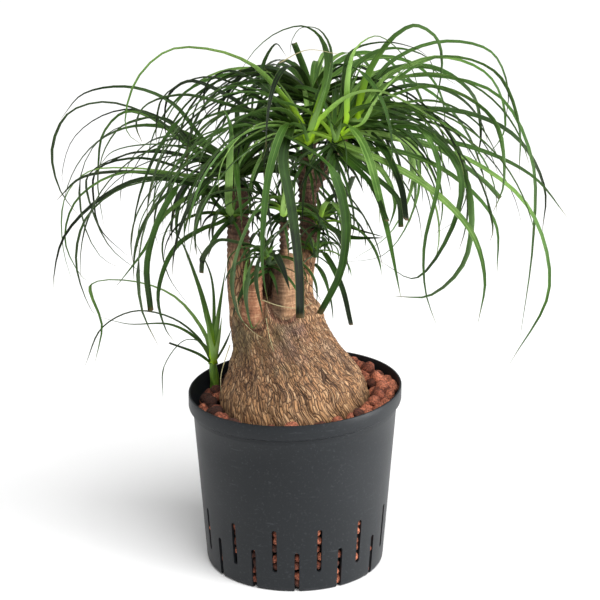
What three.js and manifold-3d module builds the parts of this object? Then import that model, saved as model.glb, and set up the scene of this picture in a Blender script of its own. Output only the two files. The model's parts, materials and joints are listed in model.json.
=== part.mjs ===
// A ponytail palm in a slotted culture pot: a swollen, cork-barked trunk with a few stems above it,
// arching heads of strap leaves, a young offset beside the trunk, and clay granules that fill the pot and
// carry the plant. Millimetres, +Z up. The origin is on the pot's axis at the surface it stands on, and -Y
// is the front.
import * as THREE from "three";
import { mergeVertices } from "three/addons/utils/BufferGeometryUtils.js";
import Module from "manifold-3d";

const wasm = await Module();
wasm.setup();

// ---- Driving dimensions -------------------------------------------------------------------------------

const CLEARANCE = 0.35; // left between pieces that touch on the real plant

const RIM_DIAMETER = 220;
const POT_HEIGHT = 190;
const BASE_DIAMETER = 185.4;
const WALL = 2.2;
const FLOOR = 3;
const COLLAR_HEIGHT = 15;
const COLLAR_STEP = 5; // how far the collar stands out over the body below it
const BODY_TOP = 167; // height of the fine step line under the collar
const POT_LEAN = Math.tan(THREE.MathUtils.degToRad(2.45)); // soft plastic: the rim sits higher on the right
const POT_SIDES = 52;

const SLOT_COUNT = 26;
const SLOT_WIDTH = 5;
const SLOT_TURN = 1.3; // degrees from the front to the nearest low slot
const LOW_SLOT = [-4, 45]; // from below the bottom edge to this height
const HIGH_SLOT = [22, 70];

const DRAIN_COUNT = 3;
const DRAIN_WIDTH = 24;
const DRAIN_HEIGHT = 1.8;
const DRAIN_TURN = -3.8; // from the front slot to the first groove, in slots
const REACH = 40; // length of what cuts a slot or a groove through the wall
const MERGE_DISTANCE = 1e-4;

const FILL_HEIGHT = 170; // middle of the granules' bed, under the granules on top
const FILL_SLOPE = { right: 0.11, front: 0.05 }; // rise of the bed towards each
const FILLING_DEPTH = 4; // from the bed's height down to the plain filling under the single granules
const GRANULE_SIZE = [5.8, 7.6]; // shortest and longest half-width
const GRANULE_SINK = 3; // from the bed's height down to the middles of the granules on it
const GRANULE_SCATTER = { share: 0.35, out: 4, up: 2 }; // along its row in spacings, and in millimetres
const GRANULE_ROWS = [
  { radius: 85, count: 21, lift: 0 },
  { radius: 95, count: 24, lift: 0 },
  { radius: 90, count: 5, lift: 3 },
];

// Trunk outline: height, left, right, front and back of each section.
const TRUNK_SECTIONS = [
  [114, -46, 46, -46, 46],
  [155, -76, 76, -76, 76],
  [172, -77, 77, -76, 76],
  [181, -76.8, 76.5, -75, 75],
  [189, -75.9, 73.5, -72, 73],
  [203, -69.5, 67.5, -65, 67],
  [220, -65.8, 55.5, -56, 58],
  [233, -63, 45.5, -49, 50],
  [252, -65, 35, -42, 42],
  [268, -66, 29, -38, 34],
  [281, -65, 24.5, -34, 26],
  [291, -60, 16, -27, 18],
];
const TRUNK_SIDES = 54;
const BARK_STEP = 9; // most height between two rings of the trunk where its bark shows
const BARK_RELIEF = 1.6;
const BARK_SHOWS = { from: 165, to: 300, fade: 15 }; // heights that the relief lies between, and its fade
const BARK_SLANT = { turn: 0.0045, height: 190, side: 0.7 }; // radians a millimetre up, most at the right

// Stems: x, y, z of the middle and the radius there, from inside the trunk to the cut or growing end.
const STEMS = {
  left: [[-50, 0, 262, 16], [-56, 2, 300, 13], [-57, 4, 340, 11.5], [-57, 8, 375, 10.5], [-57, 13, 401, 9.5]],
  front_stump: [[-39, -16, 258, 12], [-41, -22, 280, 10.5], [-41.5, -21, 326, 9]],
  middle_stump: [[-8, -9, 264, 17], [-10, -18, 289, 14], [-10, -17, 318, 12], [-10, -17, 338, 10]],
  right: [
    [6, 2, 262, 17], [9, 4, 299, 9.5], [14, 5, 345, 9.5],
    [13, 5, 380, 9], [12, 3, 418, 8.5], [13, -6, 441, 8],
  ],
  to_right_head: [[12, 4, 393, 7], [30, 4, 424, 7.5], [51, 5, 458, 7.5]],
  to_inner_head: [[30, 4, 424, 5.5], [37, -14, 443, 6], [38.5, -21, 449, 6]],
  to_back_head: [[12, 5, 398, 7], [15, 28, 435, 7], [17, 45, 468, 7]],
  to_middle_shoot: [[-10, -17, 325, 5], [-11, -20, 374, 4.5]],
  to_right_shoot: [[14, 3, 342, 6], [22, -5, 361, 4.5]],
};
const STEM_SIDES = 8;

const BLADE_DEPTH = 1.5; // from a leaf's face to its keel
const BLADE_STEP = 53; // length of leaf between two sections
const BLADE_SECTIONS = [3, 9]; // fewest and most of those lengths
const FACE_SHARE = 0.35; // part of a leaf's depth that lies over its middle line
const ROOT_SHARE = 0.7; // width of a leaf at its root, as a share of the full width
const ROOT_LENGTH = 0.2; // share of its length that it widens over
const TIP_SHARE = 0.1; // width left at a tip, as a share of the full width
const CUT_SHARE = 0.65; // width left at a trimmed end
const TURN_TO_FRONT = 0.4; // how far each leaf's face is turned from level towards the front
const ROOT_DEPTH = 0.06; // share of a traced leaf's depth that it has at once at its root
const GOLDEN_TURN = Math.PI * (3 - Math.sqrt(5)); // between one ruled leaf and the next
const FALL = [70, 112]; // degrees below level of a ruled leaf's tip
const ARCH = [0.65, 1.15]; // how early a ruled leaf bends over
const AZIMUTH_SCATTER = 0.7;
const DRIFT_SCATTER = 0.9; // radians that a ruled leaf turns to one side along its length
const LINE_STEPS = 12;
const TRACED_BEND = { step: 9, tries: 11 }; // millimetres in depth, to bend a leaf clear of another node
const RULED_BEND = { step: 0.13, tries: 9 }; // radians round its head, for the same
const CROWN = new THREE.Box3(new THREE.Vector3(-262, -235, 150), new THREE.Vector3(290, 240, 592));

// Reading places from the photograph: a 600 x 600 frame, its focal length in pixels, and where its camera
// stands.
const FRAME_MIDDLE = 300;
const FOCAL_PIXELS = 2285;
const CAMERA = new THREE.Vector3(5.2, -2200, 1047);
const CAMERA_PITCH = THREE.MathUtils.degToRad(19.13);

// ---- Leaves seen in the photograph --------------------------------------------------------------------
// Each is followed along its middle by a few pixels of the photograph, from root to tip. Its width is in
// millimetres, and its tip lies so many millimetres behind its head, or before it where the number is
// negative.

const seen = (width, tip, ...pixels) => ({ width, tip, pixels, cut: false });
const trimmed = (width, tip, ...pixels) => ({ width, tip, pixels, cut: true });

const SEEN_LEAVES = {
  head_left: [
    seen(3.5, 30, [222, 160], [200, 136], [172, 103], [130, 87], [83, 94], [60, 120]),
    seen(4.5, -20, [215, 168], [188, 144], [149, 115], [103, 102], [68, 114], [52, 150], [60, 190], [78, 215]),
    seen(2.5, 60, [212, 165], [180, 130], [138, 110], [104, 115], [73, 139], [62, 174], [63, 184]),
    seen(3, 85, [205, 160], [150, 117], [125, 112], [103, 134], [98, 172], [98, 190], [104, 226]),
    seen(3, -50, [205, 158], [165, 118], [124, 125], [97, 142], [81, 174], [83, 221], [101, 257], [122, 269]),
    seen(4.5, -75, [200, 155], [165, 119], [124, 125], [105, 149], [97, 180]),
    seen(5.5, -60, [225, 165], [188, 149], [153, 144], [112, 152], [98, 168]),
    seen(3, 45, [220, 170], [180, 155], [132, 153], [100, 167], [86, 172]),
    seen(6.5, 10, [225, 190], [189, 181], [127, 172], [81, 178], [57, 200]),
    seen(5, -30, [225, 195], [194, 185], [143, 179], [100, 199], [64, 237], [54, 275], [54, 290]),
    seen(3.5, 25, [215, 190], [180, 180], [125, 187], [87, 217], [76, 262], [90, 308], [98, 318]),
    seen(3, -5, [205, 180], [165, 173], [114, 175], [76, 201], [65, 240], [79, 273], [90, 284]),
    seen(2, 60, [200, 176], [130, 168], [88, 172], [65, 198], [63, 247], [74, 287]),
    seen(2.5, -45, [200, 160], [160, 150], [110, 160], [87, 178], [93, 212], [110, 247], [135, 268],
      [150, 275]),
    seen(2.5, 75, [195, 172], [140, 158], [97, 170], [94, 204], [101, 230], [130, 258]),
    trimmed(6, -60, [235, 170], [205, 165], [184, 180], [160, 217], [147, 265], [151, 311]),
    seen(5, -35, [226, 196], [198, 194], [165, 215], [143, 252], [115, 288]),
    seen(2, 30, [220, 190], [205, 193], [186, 203], [163, 240], [168, 275], [190, 307]),
  ],
  shoot_left: [
    seen(4.5, -40, [218, 224], [205, 228], [175, 248], [158, 295], [166, 330], [174, 341]),
    seen(6, -25, [229, 195], [230, 160], [231, 130], [224, 111], [218, 110]),
    seen(5, -20, [237, 212], [254, 198], [269, 186]),
    seen(3.5, 30, [221, 209], [209, 193], [200, 171]),
  ],
  head_centre: [
    seen(6, -30, [293, 118], [262, 75], [217, 51], [170, 50], [137, 79], [125, 121], [129, 135], [141, 144]),
    seen(7, -70, [295, 140], [262, 118], [221, 103], [180, 95], [145, 106], [136, 125], [142, 142]),
    seen(4, 50, [290, 134], [262, 120], [230, 97], [190, 81], [169, 95], [165, 130], [170, 144]),
    seen(6, -10, [298, 135], [275, 110], [235, 84], [202, 77], [164, 96], [156, 130], [157, 144]),
    seen(4, 25, [290, 125], [268, 92], [230, 71], [207, 84], [205, 110], [212, 123]),
    seen(3, 70, [285, 120], [260, 100], [219, 87], [180, 103]),
    seen(7, -80, [298, 128], [285, 111], [254, 112], [219, 136], [180, 170], [153, 205], [139, 255], [142, 310],
      [158, 345]),
    seen(6, 20, [312, 125], [322, 95], [325, 51], [302, 23], [268, 34], [240, 72]),
    seen(7, -25, [313, 135], [320, 105], [330, 58], [319, 26], [294, 29], [288, 59]),
    seen(6, -90, [306, 132], [288, 124], [272, 160], [263, 222], [263, 275], [268, 302]),
    trimmed(8.5, -70, [308, 130], [294, 126], [283, 155], [291, 205], [299, 270], [300, 318]),
    seen(5, -50, [298, 143], [283, 135], [241, 121], [224, 121]),
    seen(8, -75, [316, 140], [332, 177], [345, 225], [341, 275], [320, 314]),
    seen(2.5, -40, [308, 125], [320, 113], [344, 142], [347, 175]),
    seen(5, 35, [285, 120], [268, 90], [262, 70], [276, 44], [286, 56]),
  ],
  head_back: [
    seen(6, 40, [300, 85], [275, 70], [250, 70], [222, 102], [215, 130]),
    trimmed(6, -10, [306, 75], [294, 43]),
  ],
  head_right: [
    seen(6, 30, [355, 115], [361, 100], [376, 60], [416, 25], [440, 43], [440, 75], [435, 110]),
    seen(4.5, -20, [347, 105], [345, 85], [352, 52], [384, 42], [417, 49], [428, 57]),
    seen(6, 60, [342, 108], [353, 69], [386, 49], [428, 58], [435, 80]),
    seen(6, 80, [352, 112], [377, 76], [430, 67], [472, 94], [481, 135], [476, 162]),
    seen(5, -25, [360, 118], [384, 90], [439, 57], [495, 72], [519, 124], [519, 175]),
    seen(4, 50, [355, 112], [390, 75], [440, 57], [490, 77], [505, 128], [479, 166]),
    seen(3.5, 95, [360, 110], [386, 66], [438, 42], [490, 51], [508, 88], [505, 125]),
    seen(4, 5, [362, 112], [395, 80], [445, 77], [500, 97], [532, 160], [533, 240], [519, 345]),
    seen(6, -45, [360, 118], [400, 93], [443, 88], [494, 121], [504, 183], [493, 212]),
    seen(8, -60, [358, 126], [380, 144], [400, 184], [406, 220]),
    seen(5, 35, [364, 122], [410, 110], [471, 114], [518, 139], [545, 190], [542, 233]),
    seen(5, -15, [365, 130], [430, 138], [491, 154], [536, 179], [567, 217]),
    seen(5, -5, [362, 134], [415, 143], [475, 163], [530, 210], [549, 290], [509, 365]),
    trimmed(5, 70, [375, 130], [430, 145], [485, 182], [500, 198]),
    seen(5, -75, [362, 128], [420, 130], [459, 170], [457, 215], [417, 278], [380, 261]),
    seen(6, -50, [362, 124], [425, 128], [466, 178], [466, 258], [431, 295], [393, 296]),
    seen(2.5, 85, [365, 124], [440, 125], [468, 180], [456, 219], [431, 236]),
    seen(4, -90, [358, 124], [415, 125], [439, 165], [424, 248], [426, 294], [437, 326]),
    seen(4, 55, [362, 124], [398, 130], [414, 172], [392, 231], [351, 261]),
    seen(2.5, 75, [365, 120], [408, 135], [419, 188], [385, 254], [334, 263]),
  ],
  head_inner_right: [
    seen(5, -20, [334, 112], [341, 70], [377, 36], [409, 63], [424, 115]),
    seen(6, -60, [336, 120], [348, 94], [386, 93], [438, 121], [480, 148]),
    seen(8, -70, [340, 125], [365, 108], [425, 126], [475, 171], [493, 230], [490, 241]),
    seen(6, -80, [345, 125], [361, 140], [383, 212], [401, 298]),
    seen(5, -40, [345, 148], [400, 152], [453, 176], [495, 222], [497, 275]),
    trimmed(5, -55, [342, 150], [370, 173], [398, 200], [401, 227]),
    trimmed(5, -70, [342, 155], [370, 183], [387, 221]),
    seen(5, -35, [345, 150], [381, 170], [395, 203], [388, 230]),
    seen(6, -85, [345, 146], [387, 163], [433, 191], [472, 233], [485, 280], [478, 323]),
  ],
  shoot_middle: [
    seen(6, -15, [278, 200], [262, 194], [240, 190], [206, 198], [195, 230], [197, 256]),
    seen(6, -45, [278, 198], [266, 200], [250, 222], [232, 281], [241, 319], [251, 328]),
  ],
  shoot_right: [
    seen(4, -15, [328, 218], [348, 227], [384, 237]),
    seen(3, -35, [330, 228], [348, 237], [384, 238]),
    trimmed(7, -20, [331, 214], [343, 200], [354, 176]),
    seen(7, -30, [314, 210], [300, 205], [288, 223], [265, 249], [260, 262]),
  ],
  shoot_low_middle: [
    trimmed(6, -10, [256, 248], [238, 243], [218, 241], [203, 258], [201, 273]),
    seen(6, -30, [274, 254], [281, 265], [290, 291]),
    seen(4, -32, [264, 250], [256, 275], [263, 318]),
    seen(5, -30, [258, 254], [246, 290], [251, 327]),
  ],
  shoot_low_right: [
    trimmed(6, -35, [322, 252], [341, 285], [351, 325]),
  ],
  offset_plant: [
    trimmed(3, -10, [201, 364], [171, 379], [153, 400]),
    trimmed(3, 10, [200, 355], [169, 343]),
    seen(2, -25, [204, 344], [185, 340], [164, 367], [163, 400]),
    seen(4, 0, [198, 338], [172, 318], [135, 311], [102, 328], [85, 366]),
    seen(3, 20, [200, 342], [172, 325], [128, 324], [100, 317]),
    seen(5, -15, [205, 335], [172, 295], [125, 280], [91, 285], [102, 325], [95, 362]),
    seen(6, 10, [211, 335], [197, 280], [173, 231], [157, 236]),
    seen(4, 25, [214, 330], [211, 276], [193, 238]),
    seen(5, -10, [217, 325], [226, 266]),
    seen(3, -10, [224, 347], [233, 326]),
  ],
};

// ---- Leaf heads ---------------------------------------------------------------------------------------
// Where each head's leaves root, its core's half-width and half-height, its green, and the leaves that a
// rule adds all round it: how many, their length, how steeply they rise, and their width.

const HEADS = {
  head_left: {
    at: [-57.3, 15, 409], core: [12, 12], green: 0x44762a, seed: 11,
    count: 18, length: [150, 300], rise: [20, 75], width: [3.5, 6.5],
  },
  head_centre: {
    at: [13.1, -10, 450], core: [12, 12], green: 0x5a8f2c, seed: 23,
    count: 16, length: [150, 310], rise: [30, 80], width: [4, 7],
  },
  head_right: {
    at: [55, 5, 467], core: [12, 12], green: 0x477d2b, seed: 37,
    count: 18, length: [150, 320], rise: [20, 75], width: [3.5, 6.5],
  },
  head_inner_right: {
    at: [39, -24, 457], core: [8.5, 9], green: 0x659a30, seed: 41,
    count: 8, length: [120, 240], rise: [30, 80], width: [4, 6.5],
  },
  head_back: {
    at: [17.3, 48, 477], core: [12, 12], green: 0x3d6c26, seed: 53,
    count: 24, length: [170, 330], rise: [20, 80], width: [4, 6.5],
  },
  shoot_left: {
    at: [-63.5, -6.5, 374], core: [7, 8], green: 0x5c9330, seed: 61,
    count: 5, length: [60, 130], rise: [20, 80], width: [3, 5],
  },
  shoot_middle: {
    at: [-11, -21, 382], core: [7, 9], green: 0x78ad35, seed: 67,
    count: 7, length: [60, 120], rise: [35, 85], width: [3.5, 5.5],
  },
  shoot_right: {
    at: [25, -9, 368], core: [7, 8], green: 0x78ad35, seed: 71,
    count: 6, length: [60, 120], rise: [35, 85], width: [3.5, 5.5],
  },
  shoot_low_middle: {
    at: [-26, -27, 336], core: [7, 7], green: 0x659a30, seed: 79,
    count: 6, length: [50, 100], rise: [20, 80], width: [3.5, 5.5],
  },
  shoot_low_right: {
    at: [20, -9, 338], core: [6.5, 7], green: 0x78ad35, seed: 83,
    count: 5, length: [40, 90], rise: [20, 80], width: [3, 5],
  },
  offset_plant: {
    at: [-86, 44, 196], core: [5, 12], green: 0x7fb53a, seed: 97,
    count: 4, length: [60, 120], rise: [40, 85], width: [3, 4.5],
  },
};

const OFFSET_STEM = { foot: [-84.4, 44], radius: 4.2, low: 134, high: 192 };

// ---- Making solids ------------------------------------------------------------------------------------

// A closed three.js geometry as a solid: shared vertices merged, and triangles that shrank to a line left
// out.
function solid(geometry) {
  const bare = new THREE.BufferGeometry();
  const flat = geometry.index ? geometry.toNonIndexed() : geometry;
  bare.setAttribute("position", flat.attributes.position);
  const merged = mergeVertices(bare, MERGE_DISTANCE);
  const index = merged.index.array;
  const kept = [];
  for (let i = 0; i < index.length; i += 3) {
    const [a, b, c] = [index[i], index[i + 1], index[i + 2]];
    if (a !== b && b !== c && c !== a) {
      kept.push(a, b, c);
    }
  }
  return new wasm.Manifold(new wasm.Mesh({
    numProp: 3,
    vertProperties: new Float32Array(merged.attributes.position.array),
    triVerts: new Uint32Array(kept),
  }));
}

// The triangles of a solid's largest skin: a loose scrap is dropped, and a hollow that fusing sealed is
// filled.
function largestSkin(triangles, pointCount) {
  const parent = Array.from({ length: pointCount }, (_, i) => i);
  const top = (point) => {
    let at = point;
    while (parent[at] !== at) {
      parent[at] = parent[parent[at]];
      at = parent[at];
    }
    return at;
  };
  for (let i = 0; i < triangles.length; i += 3) {
    parent[top(triangles[i])] = top(triangles[i + 1]);
    parent[top(triangles[i + 1])] = top(triangles[i + 2]);
  }
  const skins = new Map();
  for (let i = 0; i < triangles.length; i += 3) {
    const key = top(triangles[i]);
    skins.set(key, [...(skins.get(key) ?? []), i]);
  }
  const starts = [...skins.values()].sort((one, other) => other.length - one.length)[0];
  return starts.flatMap((i) => [triangles[i], triangles[i + 1], triangles[i + 2]]);
}

function named(name, shape, color, roughness) {
  const { vertProperties, triVerts } = shape.getMesh();
  const geometry = new THREE.BufferGeometry();
  geometry.setAttribute("position", new THREE.BufferAttribute(new Float32Array(vertProperties), 3));
  geometry.setIndex(largestSkin(triVerts, vertProperties.length / 3));
  geometry.computeVertexNormals();
  const mesh = new THREE.Mesh(geometry, new THREE.MeshStandardMaterial({ color, roughness, metalness: 0 }));
  mesh.name = name;
  return mesh;
}

// A closed skin over rings of equally many points; a last ring of one point is a sharp tip.
function skin(rings) {
  const sides = rings[0].length;
  const corners = [];
  const face = (a, b, c) => corners.push(...a, ...b, ...c);
  const mean = (ring, axis) => ring.reduce((sum, point) => sum + point[axis], 0) / ring.length;
  const cap = (ring, turned) => {
    const centre = [0, 1, 2].map((axis) => mean(ring, axis));
    for (let i = 0; i < sides; i += 1) {
      const [from, to] = turned ? [ring[(i + 1) % sides], ring[i]] : [ring[i], ring[(i + 1) % sides]];
      if (sides > 3) {
        face(centre, from, to);
      }
    }
    if (sides === 3) {
      face(...(turned ? [ring[2], ring[1], ring[0]] : ring));
    }
  };
  cap(rings[0], true);
  for (let row = 0; row + 1 < rings.length; row += 1) {
    const [low, high] = [rings[row], rings[row + 1]];
    for (let i = 0; i < sides; i += 1) {
      const next = (i + 1) % sides;
      if (high.length === 1) {
        face(low[i], low[next], high[0]);
      } else {
        face(low[i], low[next], high[next]);
        face(low[i], high[next], high[i]);
      }
    }
  }
  if (rings.at(-1).length > 1) {
    cap(rings.at(-1), false);
  }
  const geometry = new THREE.BufferGeometry();
  geometry.setAttribute("position", new THREE.Float32BufferAttribute(corners, 3));
  return geometry;
}

// An even stream of numbers from 0 to 1 that is the same each time for the same seed.
function randomStream(seed) {
  let state = seed >>> 0;
  return () => {
    state = (state + 0x6d2b79f5) >>> 0;
    let mixed = Math.imul(state ^ (state >>> 15), state | 1);
    mixed = (mixed ^ (mixed + Math.imul(mixed ^ (mixed >>> 7), mixed | 61))) >>> 0;
    return ((mixed ^ (mixed >>> 14)) >>> 0) / 4294967296;
  };
}

const between = ([low, high], share) => low + (high - low) * share;
const smooth = (share) => THREE.MathUtils.smoothstep(share, 0, 1);

// ---- Pot and granules ---------------------------------------------------------------------------------

// Every height of the pot rises a little to the right, none at its base.
function lean(geometry) {
  const place = geometry.attributes.position;
  for (let i = 0; i < place.count; i += 1) {
    const rise = (place.getZ(i) / POT_HEIGHT) * POT_LEAN * place.getX(i);
    place.setZ(i, place.getZ(i) + rise);
  }
  return geometry;
}

const SLOT_PITCH = (2 * Math.PI) / SLOT_COUNT;
const FIRST_SLOT = THREE.MathUtils.degToRad(SLOT_TURN) - Math.PI / 2;

// A turned shape from its [radius, height] points; each slot lies in the middle of one of its flats.
function lathe(profile) {
  const points = profile.map(([radius, height]) => new THREE.Vector2(radius, height));
  return new THREE.LatheGeometry(points, POT_SIDES).rotateX(Math.PI / 2).rotateZ(FIRST_SLOT + SLOT_PITCH / 4);
}

const RIM_RADIUS = RIM_DIAMETER / 2;
const BASE_RADIUS = BASE_DIAMETER / 2;
const BODY_TOP_RADIUS = RIM_RADIUS - COLLAR_STEP;
const COLLAR_FOOT = POT_HEIGHT - COLLAR_HEIGHT;

// Inside of the pot as [radius, height], drawn in from its walls by a gap.
function potInside(gap, top) {
  return [
    [0, FLOOR + gap],
    [BASE_RADIUS - WALL - 1.5 - gap, FLOOR + gap],
    [BODY_TOP_RADIUS - WALL - gap, BODY_TOP],
    [RIM_RADIUS - WALL - gap, COLLAR_FOOT + 1],
    [RIM_RADIUS - WALL - gap, top],
    [0, top],
  ];
}

function slotCutter(low, high, angle) {
  const half = SLOT_WIDTH / 2;
  const outline = new THREE.Shape();
  outline.moveTo(-half, low + half);
  outline.absarc(0, low + half, half, Math.PI, 2 * Math.PI, false);
  outline.absarc(0, high - half, half, 0, Math.PI, false);
  outline.closePath();
  const geometry = new THREE.ExtrudeGeometry(outline, { depth: REACH, bevelEnabled: false, curveSegments: 2 });
  geometry.rotateX(Math.PI / 2).translate(0, RIM_RADIUS, 0).rotateZ(angle - Math.PI / 2);
  return solid(lean(geometry));
}

function makePot() {
  const outside = [
    [0, 0],
    [BASE_RADIUS - 4, 0],
    [BASE_RADIUS, 5],
    [BODY_TOP_RADIUS, BODY_TOP],
    [RIM_RADIUS - 0.6, COLLAR_FOOT - 1],
    [RIM_RADIUS, COLLAR_FOOT + 0.6],
    [RIM_RADIUS, POT_HEIGHT],
  ];
  const cup = [[RIM_RADIUS - WALL, POT_HEIGHT], ...potInside(0, POT_HEIGHT).slice(0, -2).reverse()];
  let pot = solid(lean(lathe([...outside, ...cup])));
  for (let i = 0; i < SLOT_COUNT; i += 1) {
    const [low, high] = i % 2 === 0 ? LOW_SLOT : HIGH_SLOT;
    pot = pot.subtract(slotCutter(low, high, FIRST_SLOT + i * SLOT_PITCH));
  }
  for (let i = 0; i < DRAIN_COUNT; i += 1) {
    const groove = new THREE.BoxGeometry(REACH, DRAIN_WIDTH, 2 * DRAIN_HEIGHT).translate(BASE_RADIUS, 0, 0);
    const turn = FIRST_SLOT + (DRAIN_TURN + (i * SLOT_COUNT) / DRAIN_COUNT) * SLOT_PITCH;
    pot = pot.subtract(solid(groove.rotateZ(turn)));
  }
  return pot;
}

const bedHeight = (x, y) => FILL_HEIGHT + FILL_SLOPE.right * x - FILL_SLOPE.front * y;

// One bed of granules: the filling below, and single granules bedded in its top, cut to the pot and the
// plant's holes.
function makeGranules(holes) {
  const bedTop = FILL_HEIGHT - FILLING_DEPTH;
  const bedRadius = BODY_TOP_RADIUS - WALL - 1.2;
  const bed = lathe([...potInside(CLEARANCE, bedTop).slice(0, 2), [bedRadius, bedTop], [0, bedTop]]);
  const place = bed.attributes.position;
  for (let i = 0; i < place.count; i += 1) {
    if (place.getZ(i) > bedTop - 1) {
      place.setZ(i, bedHeight(place.getX(i), place.getY(i)) - FILLING_DEPTH);
    }
  }
  let fill = solid(lean(bed));
  const random = randomStream(5);
  const either = (reach) => reach * (random() - 0.5);
  for (const { radius, count, lift } of GRANULE_ROWS) {
    for (let i = 0; i < count; i += 1) {
      const angle = ((i + either(GRANULE_SCATTER.share)) / count) * 2 * Math.PI + radius;
      const out = radius + either(GRANULE_SCATTER.out);
      const [x, y] = [out * Math.cos(angle), out * Math.sin(angle)];
      const granule = new THREE.IcosahedronGeometry(1, 0);
      granule.scale(...[0, 1, 2].map(() => between(GRANULE_SIZE, random())));
      granule.rotateX(2 * Math.PI * random()).rotateZ(2 * Math.PI * random());
      granule.translate(x, y, bedHeight(x, y) - GRANULE_SINK + lift + either(GRANULE_SCATTER.up));
      fill = fill.add(solid(lean(granule)));
    }
  }
  fill = fill.intersect(solid(lean(lathe(potInside(CLEARANCE, POT_HEIGHT)))));
  return holes.reduce((left, hole) => left.subtract(hole), fill);
}

// ---- Trunk --------------------------------------------------------------------------------------------

// Long plates of cork parted by furrows that wander and slant as they climb: waves round the trunk whose
// phase shifts with height.
function bark(angle, height) {
  const { turn: slant, height: level, side } = BARK_SLANT;
  const turn = angle + slant * (height - level) * (0.5 + 0.5 * Math.cos(angle + side));
  const wander = 1.4 * Math.sin(height / 21) + 0.8 * Math.sin(height / 9 + 3 * turn);
  const plates = Math.sin(14 * turn + wander) + 0.7 * Math.sin(19 * turn - 1.3 * wander + height / 15);
  const { from, to, fade } = BARK_SHOWS;
  const shows = smooth((height - from) / fade) * smooth((to - height) / fade);
  return BARK_RELIEF * THREE.MathUtils.clamp(plates, -1, 0.8) * shows;
}

// The trunk's sections, with more between them where the bark shows.
function closeSections() {
  return TRUNK_SECTIONS.flatMap((section, row) => {
    const next = TRUNK_SECTIONS[row + 1];
    const steps = next && section[0] > BARK_SHOWS.from ? Math.ceil((next[0] - section[0]) / BARK_STEP) : 1;
    return Array.from({ length: steps }, (_, step) => section.map((value, i) => (
      step === 0 ? value : THREE.MathUtils.lerp(value, next[i], step / steps)
    )));
  });
}

// The swollen trunk: round sections whose left, right, front and back differ, under the bark's relief
// where it shows.
function swollenTrunk(grow) {
  const rings = closeSections().map(([height, left, right, front, back]) => {
    const ring = [];
    const [x0, y0] = [(left + right) / 2, (front + back) / 2];
    for (let i = 0; i < TRUNK_SIDES; i += 1) {
      const angle = (i / TRUNK_SIDES) * 2 * Math.PI;
      const out = bark(angle, height) + grow;
      ring.push([
        x0 + ((right - left) / 2 + out) * Math.cos(angle),
        y0 + ((back - front) / 2 + out) * Math.sin(angle),
        height,
      ]);
    }
    return ring;
  });
  rings[0].forEach((point) => {
    point[2] -= grow;
  });
  rings.at(-1).forEach((point) => {
    point[2] += grow;
  });
  return solid(skin(rings));
}

// A round stem along a smooth line of middles, with its own radius at each, grown all over by a gap.
function stem(places, grow) {
  const line = new THREE.CatmullRomCurve3(places.map(([x, y, z]) => new THREE.Vector3(x, y, z)));
  const steps = 2 * (places.length - 1);
  const rings = [];
  for (let row = 0; row <= steps; row += 1) {
    const share = row / steps;
    const along = share * (places.length - 1);
    const low = Math.min(Math.floor(along), places.length - 2);
    const radius = THREE.MathUtils.lerp(places[low][3], places[low + 1][3], along - low) + grow;
    const middle = line.getPoint(share);
    const ahead = line.getTangent(share);
    if (row === steps) {
      middle.addScaledVector(ahead, grow);
    }
    const right = new THREE.Vector3(0, 1, 0).cross(ahead).normalize();
    const back = ahead.clone().cross(right);
    rings.push(Array.from({ length: STEM_SIDES }, (_, i) => {
      const angle = (i / STEM_SIDES) * 2 * Math.PI;
      return middle.clone().addScaledVector(right, radius * Math.cos(angle))
        .addScaledVector(back, radius * Math.sin(angle)).toArray();
    }));
  }
  return solid(skin(rings));
}

function makeTrunk(grow) {
  return Object.values(STEMS).reduce((trunk, places) => trunk.add(stem(places, grow)), swollenTrunk(grow));
}

function offsetStem(grow) {
  const { foot: [x, y], radius, low, high } = OFFSET_STEM;
  const height = high - low + 2 * grow;
  const shape = new THREE.CylinderGeometry(radius + grow, radius + grow, height, 10).rotateX(Math.PI / 2);
  return solid(shape.translate(x, y, (low + high) / 2));
}

// ---- Leaves -------------------------------------------------------------------------------------------

// The point at depth y behind the pot's axis that the photograph shows at a pixel.
function fromPhoto([px, py], y) {
  const across = (px - FRAME_MIDDLE) / FOCAL_PIXELS;
  const up = (FRAME_MIDDLE - py) / FOCAL_PIXELS;
  const [sine, cosine] = [Math.sin(CAMERA_PITCH), Math.cos(CAMERA_PITCH)];
  const ray = new THREE.Vector3(across, up * sine + cosine, up * cosine - sine);
  return ray.multiplyScalar((y - CAMERA.y) / ray.y).add(CAMERA);
}

// The middle line of a leaf seen in the photograph, whose depth changes evenly from its head to its tip.
function seenLine(head, leaf, bend) {
  const root = new THREE.Vector3(...head.at);
  const lengths = leaf.pixels.map((pixel, i) => {
    const before = leaf.pixels[i - 1] ?? pixel;
    return Math.hypot(pixel[0] - before[0], pixel[1] - before[1]);
  });
  const whole = lengths.reduce((sum, length) => sum + length, 0);
  let gone = 0;
  const points = leaf.pixels.map((pixel, i) => {
    gone += lengths[i];
    const share = THREE.MathUtils.lerp(ROOT_DEPTH, 1, gone / whole);
    return fromPhoto(pixel, head.at[1] + (leaf.tip + bend) * share);
  });
  return new THREE.CatmullRomCurve3([root, ...points]);
}

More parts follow.
